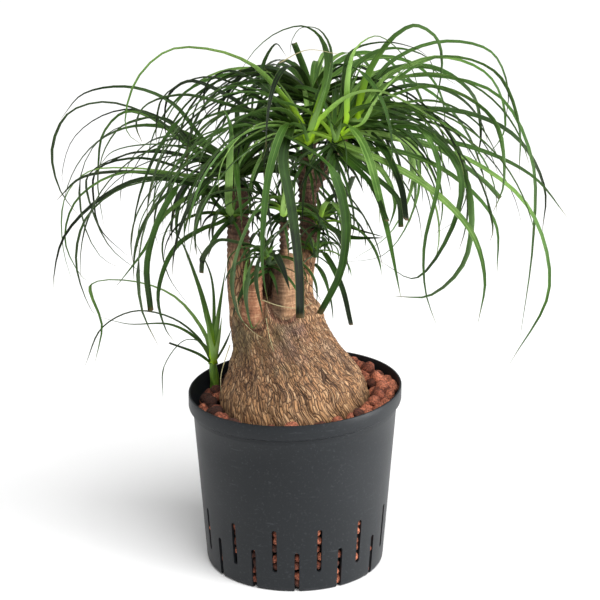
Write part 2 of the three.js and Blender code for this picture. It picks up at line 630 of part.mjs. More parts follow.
// The middle line of a leaf that a rule places: it rises from its head, arches over and hangs, drifting to
// one side.
function ruledLine(head, index, bend) {
  const random = randomStream(head.seed * 1009 + index * 7919);
  const azimuth = index * GOLDEN_TURN + AZIMUTH_SCATTER * (random() - 0.5) + bend;
  const rise = THREE.MathUtils.degToRad(between(head.rise, random()));
  const fall = THREE.MathUtils.degToRad(-between(FALL, random()));
  const length = between(head.length, random());
  const width = between(head.width, random());
  const arch = between(ARCH, random());
  const drift = DRIFT_SCATTER * (random() - 0.5);
  const place = new THREE.Vector3(...head.at);
  const points = [place.clone()];
  for (let i = 0; i < LINE_STEPS; i += 1) {
    const share = (i + 0.5) / LINE_STEPS;
    const pitch = rise + (fall - rise) * share ** arch;
    const turn = azimuth + drift * share * share;
    const [level, up] = [Math.cos(pitch), Math.sin(pitch)];
    const way = new THREE.Vector3(level * Math.cos(turn), level * Math.sin(turn), up);
    place.addScaledVector(way, length / LINE_STEPS);
    points.push(place.clone());
  }
  return { line: new THREE.CatmullRomCurve3(points), width };
}

const aligned = (vector, guide) => (vector.dot(guide) < 0 ? vector.negate() : vector);

// One strap leaf: a shallow three-sided section, flat face up, carried along its line and narrowed to its
// tip.
function blade(line, width, cut, grow) {
  const steps = THREE.MathUtils.clamp(Math.round(line.getLength() / BLADE_STEP), ...BLADE_SECTIONS);
  const middles = line.getSpacedPoints(steps);
  const rings = [];
  let guide;
  for (let row = 0; row <= steps; row += 1) {
    const share = row / steps;
    const middle = middles[row];
    const ahead = middles[Math.min(row + 1, steps)].clone().sub(middles[Math.max(row - 1, 0)]).normalize();
    if (row === steps && !cut) {
      rings.push([middle.addScaledVector(ahead, grow).toArray()]);
      break;
    }
    const level = new THREE.Vector3(-ahead.y, ahead.x, 0);
    const shown = new THREE.Vector3(0, -1, 0).cross(ahead);
    guide = aligned(level, guide ?? level).addScaledVector(aligned(shown, guide ?? level), TURN_TO_FRONT);
    const across = guide.addScaledVector(ahead, -guide.dot(ahead)).normalize().clone();
    const face = ahead.clone().cross(across);
    const taper = THREE.MathUtils.lerp(1, cut ? CUT_SHARE : TIP_SHARE, cut ? share : share ** 1.5);
    const widened = THREE.MathUtils.lerp(ROOT_SHARE, 1, smooth(share / ROOT_LENGTH));
    const half = (width * taper * widened) / 2 + 2 * grow;
    const lift = FACE_SHARE * BLADE_DEPTH + grow;
    const keel = (1 - FACE_SHARE) * BLADE_DEPTH + 1.5 * grow;
    rings.push([
      middle.clone().addScaledVector(across, half).addScaledVector(face, lift).toArray(),
      middle.clone().addScaledVector(face, -keel).toArray(),
      middle.clone().addScaledVector(across, -half).addScaledVector(face, lift).toArray(),
    ].reverse());
  }
  return skin(rings);
}

// ---- The plant ----------------------------------------------------------------------------------------

// Everything placed so far, each with the node it belongs to, so that a new leaf can be bent clear of the
// others.
const placed = [];

function keep(node, geometry, shape = solid(geometry)) {
  const box = new THREE.Box3().setFromArray(shape.getMesh().vertProperties);
  placed.push({ node, shape, box });
}

function isFree(node, geometry) {
  const box = new THREE.Box3().setFromBufferAttribute(geometry.attributes.position);
  if (!CROWN.containsBox(box)) {
    return false;
  }
  const near = placed.filter((other) => other.node !== node && other.box.intersectsBox(box));
  if (near.length === 0) {
    return true;
  }
  const shape = solid(geometry);
  return !near.some((other) => other.shape.intersect(shape).getMesh().triVerts.length > 0);
}

// Puts one leaf where it is free of every other node, bending it a little further each time that it isn't.
function addLeaf(node, bends, lineFor, cut = false) {
  for (const bend of bends) {
    const { line, width } = lineFor(bend);
    if (isFree(node, blade(line, width, cut, CLEARANCE))) {
      keep(node, blade(line, width, cut, 0));
      return;
    }
  }
}

// No bend first, then a step to one side, to the other, and so on outwards.
function sweep({ step, tries }) {
  return Array.from({ length: tries }, (_, i) => (i % 2 ? 1 : -1) * Math.ceil(i / 2) * step);
}

const trunk = makeTrunk(0);
const trunkRoom = makeTrunk(CLEARANCE);
const pot = makePot();
const granules = makeGranules([trunkRoom, offsetStem(CLEARANCE)]);
keep("trunk", null, trunk);
keep("pot", null, pot);
keep("clay_granules", null, granules);

for (const [node, { at, core: [wide, high] }] of Object.entries(HEADS)) {
  const core = new THREE.IcosahedronGeometry(1, wide > 8 ? 1 : 0).scale(wide, wide, high).translate(...at);
  keep(node, null, solid(core).subtract(trunkRoom));
}
keep("offset_plant", null, offsetStem(0));

for (const [node, leaves] of Object.entries(SEEN_LEAVES)) {
  for (const leaf of leaves) {
    const lineFor = (bend) => ({ line: seenLine(HEADS[node], leaf, bend), width: leaf.width });
    addLeaf(node, sweep(TRACED_BEND), lineFor, leaf.cut);
  }
}
const fullest = Math.max(...Object.values(HEADS).map((head) => head.count));
for (let index = 0; index < fullest; index += 1) {
  for (const [node, head] of Object.entries(HEADS)) {
    if (index < head.count) {
      addLeaf(node, sweep(RULED_BEND), (bend) => ruledLine(head, index, bend));
    }
  }
}

const palm = new THREE.Group();
palm.add(named("pot", pot, 0x44494d, 0.55));
palm.add(named("clay_granules", granules, 0x9a5a40, 0.95));
const plant = new THREE.Group();
plant.add(named("trunk", trunk, 0xa9835a, 0.92));
for (const [node, { green }] of Object.entries(HEADS)) {
  const own = placed.filter((piece) => piece.node === node);
  const whole = own.slice(1).reduce((shape, piece) => shape.add(piece.shape), own[0].shape);
  plant.add(named(node, whole, green, 0.5));
}
palm.add(plant);

export default palm;
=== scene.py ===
"""A potted ponytail palm: a slotted pot, clay granules, a barked trunk and heads of strap leaves.

Sizes in the tables are millimetres, and pixels of a 600 x 600 photograph. Meshes are made in metres, with
+Z up and -Y the front.
"""
import itertools
import json
import math

import bpy
import numpy as np
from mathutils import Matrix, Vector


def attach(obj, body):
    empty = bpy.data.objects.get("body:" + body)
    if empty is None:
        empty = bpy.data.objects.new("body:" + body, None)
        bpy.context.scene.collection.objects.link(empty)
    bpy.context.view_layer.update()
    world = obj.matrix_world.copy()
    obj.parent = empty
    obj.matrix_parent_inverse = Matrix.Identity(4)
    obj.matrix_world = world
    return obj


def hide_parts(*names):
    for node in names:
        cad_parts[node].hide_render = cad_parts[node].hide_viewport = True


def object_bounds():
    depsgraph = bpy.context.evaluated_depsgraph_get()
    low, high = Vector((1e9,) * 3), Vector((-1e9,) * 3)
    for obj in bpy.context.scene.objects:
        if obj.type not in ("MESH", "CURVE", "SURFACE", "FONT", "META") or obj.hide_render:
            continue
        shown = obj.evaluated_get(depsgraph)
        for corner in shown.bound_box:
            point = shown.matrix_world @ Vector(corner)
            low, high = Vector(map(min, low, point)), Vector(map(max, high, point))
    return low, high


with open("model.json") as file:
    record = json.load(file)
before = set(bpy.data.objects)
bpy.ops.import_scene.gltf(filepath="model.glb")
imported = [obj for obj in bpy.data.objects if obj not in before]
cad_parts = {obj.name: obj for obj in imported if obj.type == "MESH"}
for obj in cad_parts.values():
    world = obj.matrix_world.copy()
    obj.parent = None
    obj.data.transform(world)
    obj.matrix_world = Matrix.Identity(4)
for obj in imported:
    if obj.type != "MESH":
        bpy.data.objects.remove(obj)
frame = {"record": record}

CAD_BOX = [list(corner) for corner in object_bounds()]

bl_info = {
    "name": "Potted ponytail palm",
    "version": (1, 0, 0),
    "blender": (4, 5, 0),
    "location": "View3D > Sidebar > Palm",
    "description": "Makes a ponytail palm in a slotted pot of clay granules",
    "category": "Add Mesh",
}

MM = 0.001
BODY = "root"
FULL_TURN = 2 * math.pi

# ---- Camera ----

FRAME_SIDE = 600
FRAME_MIDDLE = FRAME_SIDE / 2
FOCAL_PIXELS = 2285
SENSOR_WIDTH = 36
CAMERA_PLACE = np.array([5.2, -2200.0, 1047.0])
CAMERA_PITCH = math.radians(19.13)
PITCH_SINE, PITCH_COSINE = math.sin(CAMERA_PITCH), math.cos(CAMERA_PITCH)

# ---- Trunk ----
# Outline of the swollen base: height, left, right, front and back of each section.

TRUNK_SECTIONS = np.array([
    [155, -76, 76, -76, 76],
    [172, -77, 77, -76, 76],
    [181, -76.8, 76.5, -75, 75],
    [189, -75.9, 73.5, -72, 73],
    [203, -69.5, 67.5, -65, 67],
    [220, -65.8, 55.5, -56, 58],
    [233, -63, 45.5, -49, 50],
    [252, -65, 35, -42, 42],
    [268, -66, 29, -38, 34],
    [281, -65, 24.5, -34, 26],
    [291, -60, 16, -27, 18],
])

# Stems as x, y, z of the middle and the radius there, from inside the base to the cut or growing end.
STEMS = {
    "left": [
        [-50, 0, 262, 16], [-56, 2, 300, 13], [-57, 4, 340, 11.5], [-57, 8, 375, 10.5], [-57, 13, 401, 9.5],
    ],
    "front_stump": [
        [-39, -20, 262, 8], [-40.5, -24, 274, 10.5], [-41.5, -23, 292, 9.4], [-41.5, -21, 326, 9],
    ],
    "middle_stump": [
        [-11, -14, 276, 10], [-10, -19.5, 288, 14.4], [-10, -18, 304, 13], [-10, -17, 338, 10],
    ],
    "back_stump": [[-24, 4, 262, 14], [-25, 4, 290, 10.5], [-26, 5, 318, 9], [-27, 6, 333, 7]],
    "right": [
        [6, 2, 262, 17], [9, 4, 299, 9.5], [14, 5, 345, 9.5], [13, 5, 380, 9], [12, 3, 418, 8.5],
        [13, -6, 441, 8],
    ],
    "to_right_head": [[12, 4, 393, 7], [30, 4, 424, 7.5], [51, 5, 458, 7.5]],
    "to_inner_head": [[30, 4, 424, 5.5], [37, -14, 443, 6], [38.5, -21, 449, 6]],
    "to_back_head": [[12, 5, 398, 7], [15, 28, 435, 7], [17, 45, 468, 7]],
    "to_middle_shoot": [[-10, -17, 325, 5], [-11, -20, 374, 4.5]],
    "to_right_shoot": [[14, 3, 342, 6], [22, -5, 361, 4.5]],
}
STUMPS = ("front_stump", "middle_stump")

# ---- Leaves ----
# Each leaf seen in the photograph is followed along its middle by a few of its pixels, from root to tip.
# Its width is in millimetres. Its tip lies so many millimetres behind its head, or before it where negative.


def seen(width, tip, *pixels, tone=None):
    """A whole leaf with a pointed end. Its tone, dark to pale, is drawn at random where none is given."""
    return {"width": width, "tip": tip, "pixels": pixels, "cut": 0, "fresh": 0, "tone": tone}


def trimmed(width, tip, *pixels, tone=None):
    """A leaf whose end is cut off blunt."""
    return {**seen(width, tip, *pixels, tone=tone), "cut": 1}


def fresh(width, tip, *pixels, tone=0.6):
    """A new leaf of a head's heart, with a bright base."""
    return {**seen(width, tip, *pixels, tone=tone), "fresh": 1}


SEEN_LEAVES = {
    "head_left": [
        seen(3.5, 30, (222, 160), (200, 136), (172, 103), (130, 87), (83, 94), (60, 120)),
        seen(4.5, -20, (215, 168), (188, 144), (149, 115), (103, 102), (68, 114), (52, 150), (60, 190),
             (78, 215)),
        seen(2.5, 60, (212, 165), (180, 130), (138, 110), (104, 115), (73, 139), (62, 174), (63, 184)),
        seen(3, 85, (205, 160), (150, 117), (125, 112), (103, 134), (98, 172), (98, 190), (104, 226)),
        seen(3, -130, (205, 158), (165, 118), (124, 125), (97, 142), (81, 174), (83, 221), (101, 257),
             (122, 269)),
        seen(4.5, -75, (200, 155), (165, 119), (124, 125), (105, 149), (97, 180)),
        seen(5.5, -60, (225, 165), (188, 149), (153, 144), (112, 152), (98, 168)),
        seen(3, 45, (220, 170), (180, 155), (132, 153), (100, 167), (86, 172)),
        seen(6.5, 10, (225, 190), (189, 181), (127, 172), (81, 178), (57, 200)),
        seen(5, -100, (225, 195), (194, 185), (143, 179), (100, 199), (64, 237), (54, 275), (54, 290)),
        seen(3.5, 25, (215, 190), (180, 180), (125, 187), (87, 217), (76, 262), (90, 308), (98, 318)),
        seen(3, -5, (205, 180), (165, 173), (114, 175), (76, 201), (65, 240), (79, 273), (90, 284)),
        seen(2, 60, (200, 176), (130, 168), (88, 172), (65, 198), (63, 247), (74, 287)),
        seen(2.5, -45, (200, 160), (160, 150), (110, 160), (87, 178), (93, 212), (110, 247), (135, 268),
             (150, 275)),
        seen(2.5, 75, (195, 172), (140, 158), (97, 170), (94, 204), (101, 230), (130, 258)),
        trimmed(6, -150, (235, 170), (205, 165), (184, 180), (160, 217), (147, 265), (151, 311)),
        seen(5, -35, (226, 196), (198, 194), (165, 215), (143, 252), (115, 288)),
        seen(2, 30, (220, 190), (205, 193), (186, 203), (163, 240), (168, 275), (190, 307)),
        trimmed(8, -196, (238, 150), (238, 127), (250, 120), (272, 129), (291, 139), (308, 149), (321, 158),
                (332, 170), (339, 186), (345, 212), (346, 240), (340, 275), (320, 314), tone=0.4),
    ],
    "shoot_left": [
        seen(4.5, -40, (218, 224), (205, 228), (175, 248), (158, 295), (166, 330), (174, 341)),
        seen(6, -75, (229, 210), (230, 160), (231, 130), (224, 111), (218, 110), tone=0.7),
        seen(5, -20, (237, 212), (254, 198), (269, 186)),
        seen(3.5, 30, (221, 209), (209, 193), (200, 171)),
    ],
    "head_centre": [
        fresh(7, -42, (306, 136), (299, 120), (287, 102), (272, 84), (255, 67), (217, 51), (170, 50),
              (137, 79), (125, 121), (129, 135), (141, 144), tone=0.62),
        seen(7, -70, (295, 140), (262, 118), (221, 103), (180, 95), (145, 106), (136, 125), (142, 142)),
        seen(4, 50, (290, 134), (262, 120), (230, 97), (190, 81), (169, 95), (165, 130), (170, 144)),
        seen(6, -10, (298, 135), (275, 110), (235, 84), (202, 77), (164, 96), (156, 130), (157, 144)),
        seen(4, 25, (290, 125), (268, 92), (230, 71), (207, 84), (205, 110), (212, 123)),
        seen(3, 70, (285, 120), (260, 100), (219, 87), (180, 103)),
        seen(7, -175, (298, 128), (285, 111), (254, 112), (219, 136), (180, 170), (153, 205),
             (139, 255), (142, 310), (158, 345)),
        fresh(8, -18, (310, 136), (314, 122), (320, 104), (327, 82), (327, 55), (318, 35), (303, 26),
              (278, 32), (255, 50), (240, 72), tone=0.18),
        fresh(4, -25, (315, 130), (322, 106), (331, 72), (330, 46), (318, 29), (301, 28), (292, 40),
              (290, 55), tone=0.1),
        fresh(6.5, -40, (308, 143), (310, 133), (314, 121), (320, 104), (327, 80), (331, 62), tone=0.55),
        fresh(3.5, -36, (308, 143), (305, 132), (301, 122), (294, 112), tone=0.35),
        fresh(7, -60, (311, 138), (318, 123), (331, 109), (347, 97), (367, 91), (386, 93), (438, 121),
              (480, 148), tone=0.75),
        seen(6, -198, (306, 132), (288, 124), (272, 160), (263, 222), (263, 275), (268, 302)),
        trimmed(8, -165, (308, 130), (294, 126), (283, 155), (291, 205), (299, 270), (300, 318), tone=0.12),
        seen(5, -50, (298, 143), (283, 135), (241, 121), (224, 121)),
        seen(2.5, -40, (308, 125), (320, 113), (344, 142), (347, 175)),
        seen(5, 35, (285, 120), (268, 90), (262, 70), (276, 44), (286, 56)),
        fresh(6, -25, (303, 128), (287, 106), (262, 92), (232, 86), (206, 96), tone=0.5),
        fresh(5, -24, (312, 164), (309, 172), (311, 181)),
    ],
    "head_back": [
        seen(6, 40, (300, 85), (275, 70), (250, 70), (222, 102), (215, 130)),
        trimmed(6, -10, (306, 75), (294, 43)),
    ],
    "head_right": [
        fresh(6.5, -2, (357, 122), (359, 106), (362, 90), (368, 73), (379, 54), (395, 35), (415, 25),
              (436, 37), (442, 60), (435, 110), tone=0.3),
        seen(5.5, -20, (347, 105), (345, 85), (352, 52), (384, 42), (417, 49), (428, 57)),
        seen(6, 60, (342, 108), (353, 69), (386, 49), (428, 58), (435, 80)),
        seen(6, 80, (352, 112), (377, 76), (430, 67), (472, 94), (481, 135), (476, 162)),
        seen(5, -25, (360, 118), (384, 90), (439, 57), (495, 72), (519, 124), (519, 175)),
        seen(4, 50, (355, 112), (390, 75), (440, 57), (490, 77), (505, 128), (479, 166)),
        seen(3.5, 95, (360, 110), (386, 66), (438, 42), (490, 51), (508, 88), (505, 125)),
        seen(4, 5, (362, 112), (395, 80), (445, 77), (500, 97), (532, 160), (533, 240), (519, 345)),
        seen(6, -45, (360, 118), (400, 93), (443, 88), (494, 121), (504, 183), (493, 212)),
        trimmed(6.5, -145, (358, 126), (380, 144), (400, 184), (406, 220), tone=0.1),
        seen(5, 35, (364, 122), (410, 110), (471, 114), (518, 139), (545, 190), (542, 233)),
        seen(5, -15, (365, 130), (430, 138), (491, 154), (536, 179), (567, 217)),
        seen(5, -5, (362, 134), (415, 143), (475, 163), (530, 210), (549, 290), (509, 365)),
        trimmed(5, 70, (375, 130), (430, 145), (485, 182), (500, 198)),
        seen(5, -165, (362, 128), (420, 130), (459, 170), (457, 215), (417, 278), (380, 261)),
        seen(6, -120, (362, 124), (425, 128), (466, 178), (466, 258), (431, 295), (393, 296)),
        seen(2.5, 85, (365, 124), (440, 125), (468, 180), (456, 219), (431, 236)),
        seen(4, -200, (358, 124), (415, 125), (439, 165), (424, 248), (426, 294), (437, 326)),
        seen(4, 55, (362, 124), (398, 130), (414, 172), (392, 231), (351, 261)),
        seen(2.5, 75, (365, 120), (408, 135), (419, 188), (385, 254), (334, 263)),
        fresh(6, -20, (362, 112), (372, 96), (391, 72), (423, 66), (455, 84)),
        seen(6, -40, (366, 118), (400, 104), (440, 102), (478, 124), (500, 160)),
    ],
    "head_inner_right": [
        fresh(5, -20, (346, 124), (347, 110), (347, 90), (349, 70), (354, 52), (365, 40), (379, 36),
              (409, 63), (424, 115), tone=0.65),
        fresh(4, -30, (336, 141), (332, 130), (330, 119)),
        fresh(4, -30, (336, 141), (339, 130), (342, 118)),
        fresh(5, -30, (352, 128), (362, 124), (375, 102), (391, 82), (407, 68), (430, 60), tone=0.75),
        seen(8, -70, (340, 125), (365, 108), (425, 126), (475, 171), (493, 230), (490, 241), tone=0.3),
        seen(6, -182, (345, 125), (361, 140), (383, 212), (401, 298)),
        seen(5, -40, (345, 148), (400, 152), (453, 176), (495, 222), (497, 275)),
        trimmed(5, -55, (342, 150), (370, 173), (398, 200), (401, 227)),
        trimmed(5, -120, (342, 155), (370, 183), (387, 221)),
        seen(5, -35, (345, 150), (381, 170), (395, 203), (388, 230)),
        seen(6, -150, (345, 146), (387, 163), (433, 191), (472, 233), (485, 280), (478, 323)),
    ],
    "shoot_middle": [
        seen(6, -15, (278, 200), (262, 194), (240, 190), (206, 198), (195, 230), (197, 256)),
        seen(6, -45, (278, 198), (266, 200), (250, 222), (232, 281), (241, 319), (251, 328), tone=0.2),
        fresh(5, -30, (283, 216), (283, 204), (284, 188), tone=1.0),
        fresh(4, -32, (284, 216), (287, 204), (290, 190), tone=1.0),
    ],
    "shoot_right": [
        seen(5.5, -15, (328, 218), (348, 227), (384, 237), tone=0.1),
        seen(5, -35, (330, 228), (348, 237), (384, 238), tone=0.2),
        trimmed(7, -20, (331, 214), (343, 200), (354, 176), tone=0.05),
        seen(7, -30, (314, 210), (300, 205), (288, 223), (265, 249), (260, 262)),
    ],
    "shoot_low_middle": [
        trimmed(6, -10, (256, 248), (238, 243), (218, 241), (203, 258), (201, 273), tone=0.08),
        seen(6, -30, (274, 254), (281, 265), (290, 291)),
        seen(4, -32, (264, 250), (256, 275), (263, 318)),
        seen(5, -30, (258, 254), (246, 290), (251, 327)),
        seen(3.5, -34, (252, 254), (245, 282), (247, 308), (253, 328), (262, 317)),
    ],
    "shoot_low_right": [
        trimmed(4.8, -75, (322, 252), (341, 285), (351, 325), tone=0.1),
    ],
    "offset_plant": [
        trimmed(3, -10, (201, 364), (171, 379), (153, 400)),
        trimmed(3, 10, (200, 355), (169, 343)),
        seen(2, -25, (204, 344), (185, 340), (164, 367), (163, 400)),
        seen(4, 0, (198, 338), (172, 318), (135, 311), (102, 328), (85, 366)),
        seen(3, 20, (200, 342), (172, 325), (128, 324), (100, 317)),
        seen(5, -15, (205, 335), (172, 295), (125, 280), (91, 285), (102, 325), (95, 362)),
        fresh(6, 10, (211, 335), (197, 280), (173, 231), (157, 236), tone=0.35),
        fresh(4, 25, (214, 330), (211, 276), (193, 238), tone=0.3),
        fresh(5.5, -10, (217, 325), (226, 266), tone=0.5),
        fresh(6, -6, (214, 358), (209, 335), (206, 312), tone=0.8),
        fresh(5, -8, (215, 358), (219, 338), (222, 316), tone=0.8),
        seen(3, -10, (224, 347), (233, 326)),
    ],
}

# Where each head's leaves root, its core's half-width and half-height, and its seed. Then the leaves that a
# rule adds round it: how many, their length, how steeply they rise, and their width. Last, how young and how
# pale the head is, from 0 to 1, and how many short old leaves hang under it.
HEAD_FIELDS = ("at", "core", "seed", "count", "length", "rise", "width", "young", "tone", "skirt")
HEADS = {name: dict(zip(HEAD_FIELDS, fields)) for name, *fields in [
    ("head_left", (-57.3, 15, 409), (12, 12), 11, 18, (150, 300), (20, 75), (3.5, 6.5), 0.15, 0.16, 26),
    ("head_centre", (13.1, -10, 450), (12, 12), 23, 16, (150, 310), (30, 80), (4, 7), 0.45, 0.42, 22),
    ("head_right", (55, 5, 467), (12, 12), 37, 18, (150, 320), (20, 75), (3.5, 6.5), 0.2, 0.42, 36),
    ("head_inner_right", (39, -24, 457), (8.5, 9), 41, 8, (120, 240), (30, 80), (4, 6.5), 0.6, 0.4, 34),
    ("head_back", (17.3, 48, 477), (12, 12), 53, 24, (170, 330), (20, 80), (4, 6.5), 0.15, 0.18, 20),
    ("shoot_left", (-63.5, -6.5, 374), (7, 8), 61, 5, (60, 130), (20, 80), (3, 5), 0.3, 0.22, 6),
    ("shoot_middle", (-11, -21, 382), (7, 9), 67, 7, (60, 120), (35, 85), (3.5, 5.5), 0.6, 0.22, 8),
    ("shoot_right", (25, -9, 368), (7, 8), 71, 6, (60, 120), (35, 85), (3.5, 5.5), 0.55, 0.25, 8),
    ("shoot_low_middle", (-26, -27, 336), (7, 7), 79, 6, (50, 100), (20, 80), (3.5, 5.5), 0.25, 0.18, 10),
    ("shoot_low_right", (20, -9, 338), (6.5, 7), 83, 5, (40, 90), (20, 80), (3, 5), 0.4, 0.25, 6),
    ("offset_plant", (-86, 44, 196), (5, 12), 97, 4, (60, 120), (40, 85), (3, 4.5), 0.8, 0.45, 0),
]}
SLOTS = {part["node"]: part["material_slot"] for part in frame["record"]["subparts"]}
OFFSET_STEM = [[-84.4, 44, 150, 4.4], [-84.6, 44, 172, 4.6], [-85.2, 44, 186, 4.8], [-86, 44, 200, 3.5]]

# Windows, as left, top, right and bottom pixels, on a heart or a stem. No ruled leaf hangs before them.
WINDOWS = [
    (294, 86, 348, 150), (348, 84, 370, 134), (272, 184, 292, 226), (300, 176, 322, 264),
    (206, 200, 238, 262), (240, 262, 315, 330),
]

# Outline, in pixels, of the crown's dense part. Ruled leaves keep inside it, as seen from the camera.
CROWN = np.array([
    (62, 130), (90, 92), (140, 84), (200, 74), (262, 64), (300, 54), (345, 50), (385, 38), (440, 44),
    (495, 62), (524, 112), (548, 178), (552, 240), (540, 300), (490, 322), (440, 318), (400, 290),
    (356, 262), (345, 330), (230, 330), (205, 290), (150, 300), (80, 296), (54, 240), (50, 180),
])

# Dry threads of leaf that hang on the plant: the depth of each, and some of its pixels.
THREADS = [
    (-44, [(230, 345), (226, 357), (221, 375), (221, 392)]),
    (-52, [(262, 300), (280, 306), (300, 308), (312, 303)]),
    (-46, [(236, 296), (241, 318), (252, 331), (262, 338)]),
    (-50, [(266, 318), (269, 335), (274, 352)]),
    (-60, [(279, 63), (307, 50), (338, 54)]),
]

# ---- Units, colours and random numbers ----


def srgb(red, green, blue):
    """A display colour of 0 to 255 as the linear colour that shaders use."""
    share = np.array([red, green, blue]) / 255
    return tuple(np.where(share <= 0.04045, share / 12.92, ((share + 0.055) / 1.055) ** 2.4).tolist())


def random_stream(seed):
    """An endless even stream of numbers from 0 to 1, the same each time for the same seed."""
    mask = 0xFFFFFFFF
    stride = 0x6D2B79F5
    state = seed & mask
    while True:
        state = (state + stride) & mask
        mixed = ((state ^ (state >> 15)) * (state | 1)) & mask
        mixed ^= (mixed + (((mixed ^ (mixed >> 7)) * (mixed | 61)) & mask)) & mask
        yield ((mixed ^ (mixed >> 14)) & mask) / (mask + 1)


def in_millimetres(settings, *labels):
    return [getattr(settings, label) / MM for label in labels]


def between(limits, share):
    return limits[0] + (limits[1] - limits[0]) * share


def ease(value, low=0.0, high=1.0):
    """The smooth step from 0 at low to 1 at high, 3t^2 - 2t^3 of the share t between them."""
    share = np.clip((np.asarray(value, float) - low) / (high - low), 0, 1)
    return share * share * (3 - 2 * share)


def unit(vectors):
    return vectors / np.maximum(np.linalg.norm(vectors, axis=-1, keepdims=True), 1e-9)


# ---- Mesh making ----


def skin_faces(count, rows, columns):
    """Faces of closed skins over rings: quads from each ring to the next, and one face on each end ring.

    Rings run counter-clockwise about the way from first to last ring, so that the faces look outwards.
    """
    skin, row, column = np.meshgrid(np.arange(count), np.arange(rows - 1), np.arange(columns), indexing="ij")
    first = (skin * rows + row) * columns
    following = (column + 1) % columns
    corners = [first + column, first + following, first + columns + following, first + columns + column]
    quads = np.stack(corners, axis=-1).reshape(-1, 4)
    start = np.arange(count)[:, None] * rows * columns
    ring = np.arange(columns)[None, :]
    return [quads, start + ring[:, ::-1], start + (rows - 1) * columns + ring]


def skin_map(shares, columns):
    """The UV of every corner in skin_faces: across from 0 to 1 round the ring, along as the row's share."""
    column = np.arange(columns)
    across = np.stack([column, column + 1, column + 1, column], axis=-1) / columns
    low, high = shares[:, :-1], shares[:, 1:]
    along = np.stack([low, low, high, high], axis=-1)
    across, along = np.broadcast_arrays(across[None, None], along[:, :, None])
    sides = np.stack([across, along], axis=-1).reshape(-1, 2)
    caps = [np.tile([0.25, end], (len(shares) * columns, 1)) for end in (0, 1)]
    return np.concatenate([sides, *caps])


def length_shares(lines):
    """At each point of lines (count, rows, 3), the share of the line's length that lies before it."""
    steps = np.linalg.norm(np.diff(lines, axis=1), axis=2)
    gone = np.concatenate([np.zeros((len(lines), 1)), np.cumsum(steps, axis=1)], axis=1)
    return gone / gone[:, -1:]


def add_piece(name, points, faces, finish, slot, replaced=(), places=None, **attributes):
    """A smooth mesh object from points in millimetres and blocks of faces, dressed and riding on the body."""
    mesh = bpy.data.meshes.new(name)
    corners = [face for block in faces for face in block.tolist()]
    mesh.from_pydata((points.reshape(-1, 3) * MM).tolist(), [], corners)
    if places is not None:
        mesh.uv_layers.new(name="UVMap").uv.foreach_set("vector", places.astype(np.float32).ravel())
    add_marks(mesh, attributes)
    mesh.shade_smooth()
    piece = add_to_scene(name, mesh)
    if finish:
        mesh.materials.append(finish)
    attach(piece, BODY)
    if replaced:
        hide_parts(*replaced)
    return piece


def add_marks(mesh, marks):
    """Keeps values of each point, numbers or vectors, on the mesh for its finish to read."""
    for label, values in marks.items():
        values = np.asarray(values, np.float32)
        kind, field = ("FLOAT_VECTOR", "vector") if values.ndim == 2 else ("FLOAT", "value")
        mesh.attributes.new(label, kind, "POINT").data.foreach_set(field, values.ravel())


def apply_modifiers(piece):
    """Swaps the piece's mesh for the one that its modifiers give, and removes them."""
    graph = bpy.context.evaluated_depsgraph_get()
    made = bpy.data.meshes.new_from_object(piece.evaluated_get(graph))
    piece.modifiers.clear()
    piece.data = made


def read_vectors(values, field):
    """Copies a field of three numbers from each of Blender's values."""
    vectors = np.empty(len(values) * 3, np.float32)
    values.foreach_get(field, vectors)
    return vectors.reshape(-1, 3).astype(float)


def smooth_line(places, count, turning=0.0):
    """A centripetal Catmull-Rom line through places of any dimension, as count points at equal steps.

    Each span is the cubic whose end slopes weigh the chords beside it by the square roots of their lengths. A
    step is a length plus turning times the angle that the line turns by, so that tight bends get more points.
    """
    places = np.asarray(places, float)
    first, last = 2 * places[:1] - places[1:2], 2 * places[-1:] - places[-2:-1]
    guides = np.vstack([first, places, last])
    p0, p1, p2, p3 = guides[:-3], guides[1:-2], guides[2:-1], guides[3:]
    chords = (p1 - p0, p2 - p1, p3 - p2)
    d0, d1, d2 = (np.sqrt(np.linalg.norm(chord, axis=1, keepdims=True)) for chord in chords)
    slope1 = ((p1 - p0) / d0 - (p2 - p0) / (d0 + d1) + (p2 - p1) / d1) * d1
    slope2 = ((p2 - p1) / d1 - (p3 - p1) / (d1 + d2) + (p3 - p2) / d2) * d1
    t = np.linspace(0, 1, 12, endpoint=False)[None, :, None]
    spans = (
        (2 * t**3 - 3 * t**2 + 1) * p1[:, None] + (t**3 - 2 * t**2 + t) * slope1[:, None]
        + (3 * t**2 - 2 * t**3) * p2[:, None] + (t**3 - t**2) * slope2[:, None]
    )
    line = np.vstack([spans.reshape(-1, places.shape[1]), places[-1:]])
    pieces = np.diff(line, axis=0)
    ways = unit(pieces)
    turns = np.arccos(np.clip((ways[1:] * ways[:-1]).sum(axis=1), -1, 1))
    steps = np.linalg.norm(pieces, axis=1) + turning * np.concatenate([[0], turns])
    gone = np.concatenate([[0], np.cumsum(steps)])
    even = np.linspace(0, gone[-1], count)
    return np.stack([np.interp(even, gone, line[:, axis]) for axis in range(places.shape[1])], axis=1)


def ways_ahead(lines):
    """At each point of lines (..., rows, 3), the unit vector from the point before to the point after."""
    padded = np.concatenate([lines[..., :1, :], lines, lines[..., -1:, :]], axis=-2)
    return unit(padded[..., 2:, :] - padded[..., :-2, :])


def even_turns(columns):
    return np.arange(columns) / columns * FULL_TURN


def round_tube(line, radii, columns):
    """A round skin along a line: each ring lies square to the line, radius * (cos a, sin a) in its plane."""
    ahead = ways_ahead(line)
    right = unit(np.cross([0.0, 1.0, 0.0], ahead))
    back = np.cross(ahead, right)
    angle = even_turns(columns)[:, None]
    ring = right[:, None] * np.cos(angle) + back[:, None] * np.sin(angle)
    return line[:, None] + ring * np.asarray(radii)[:, None, None]


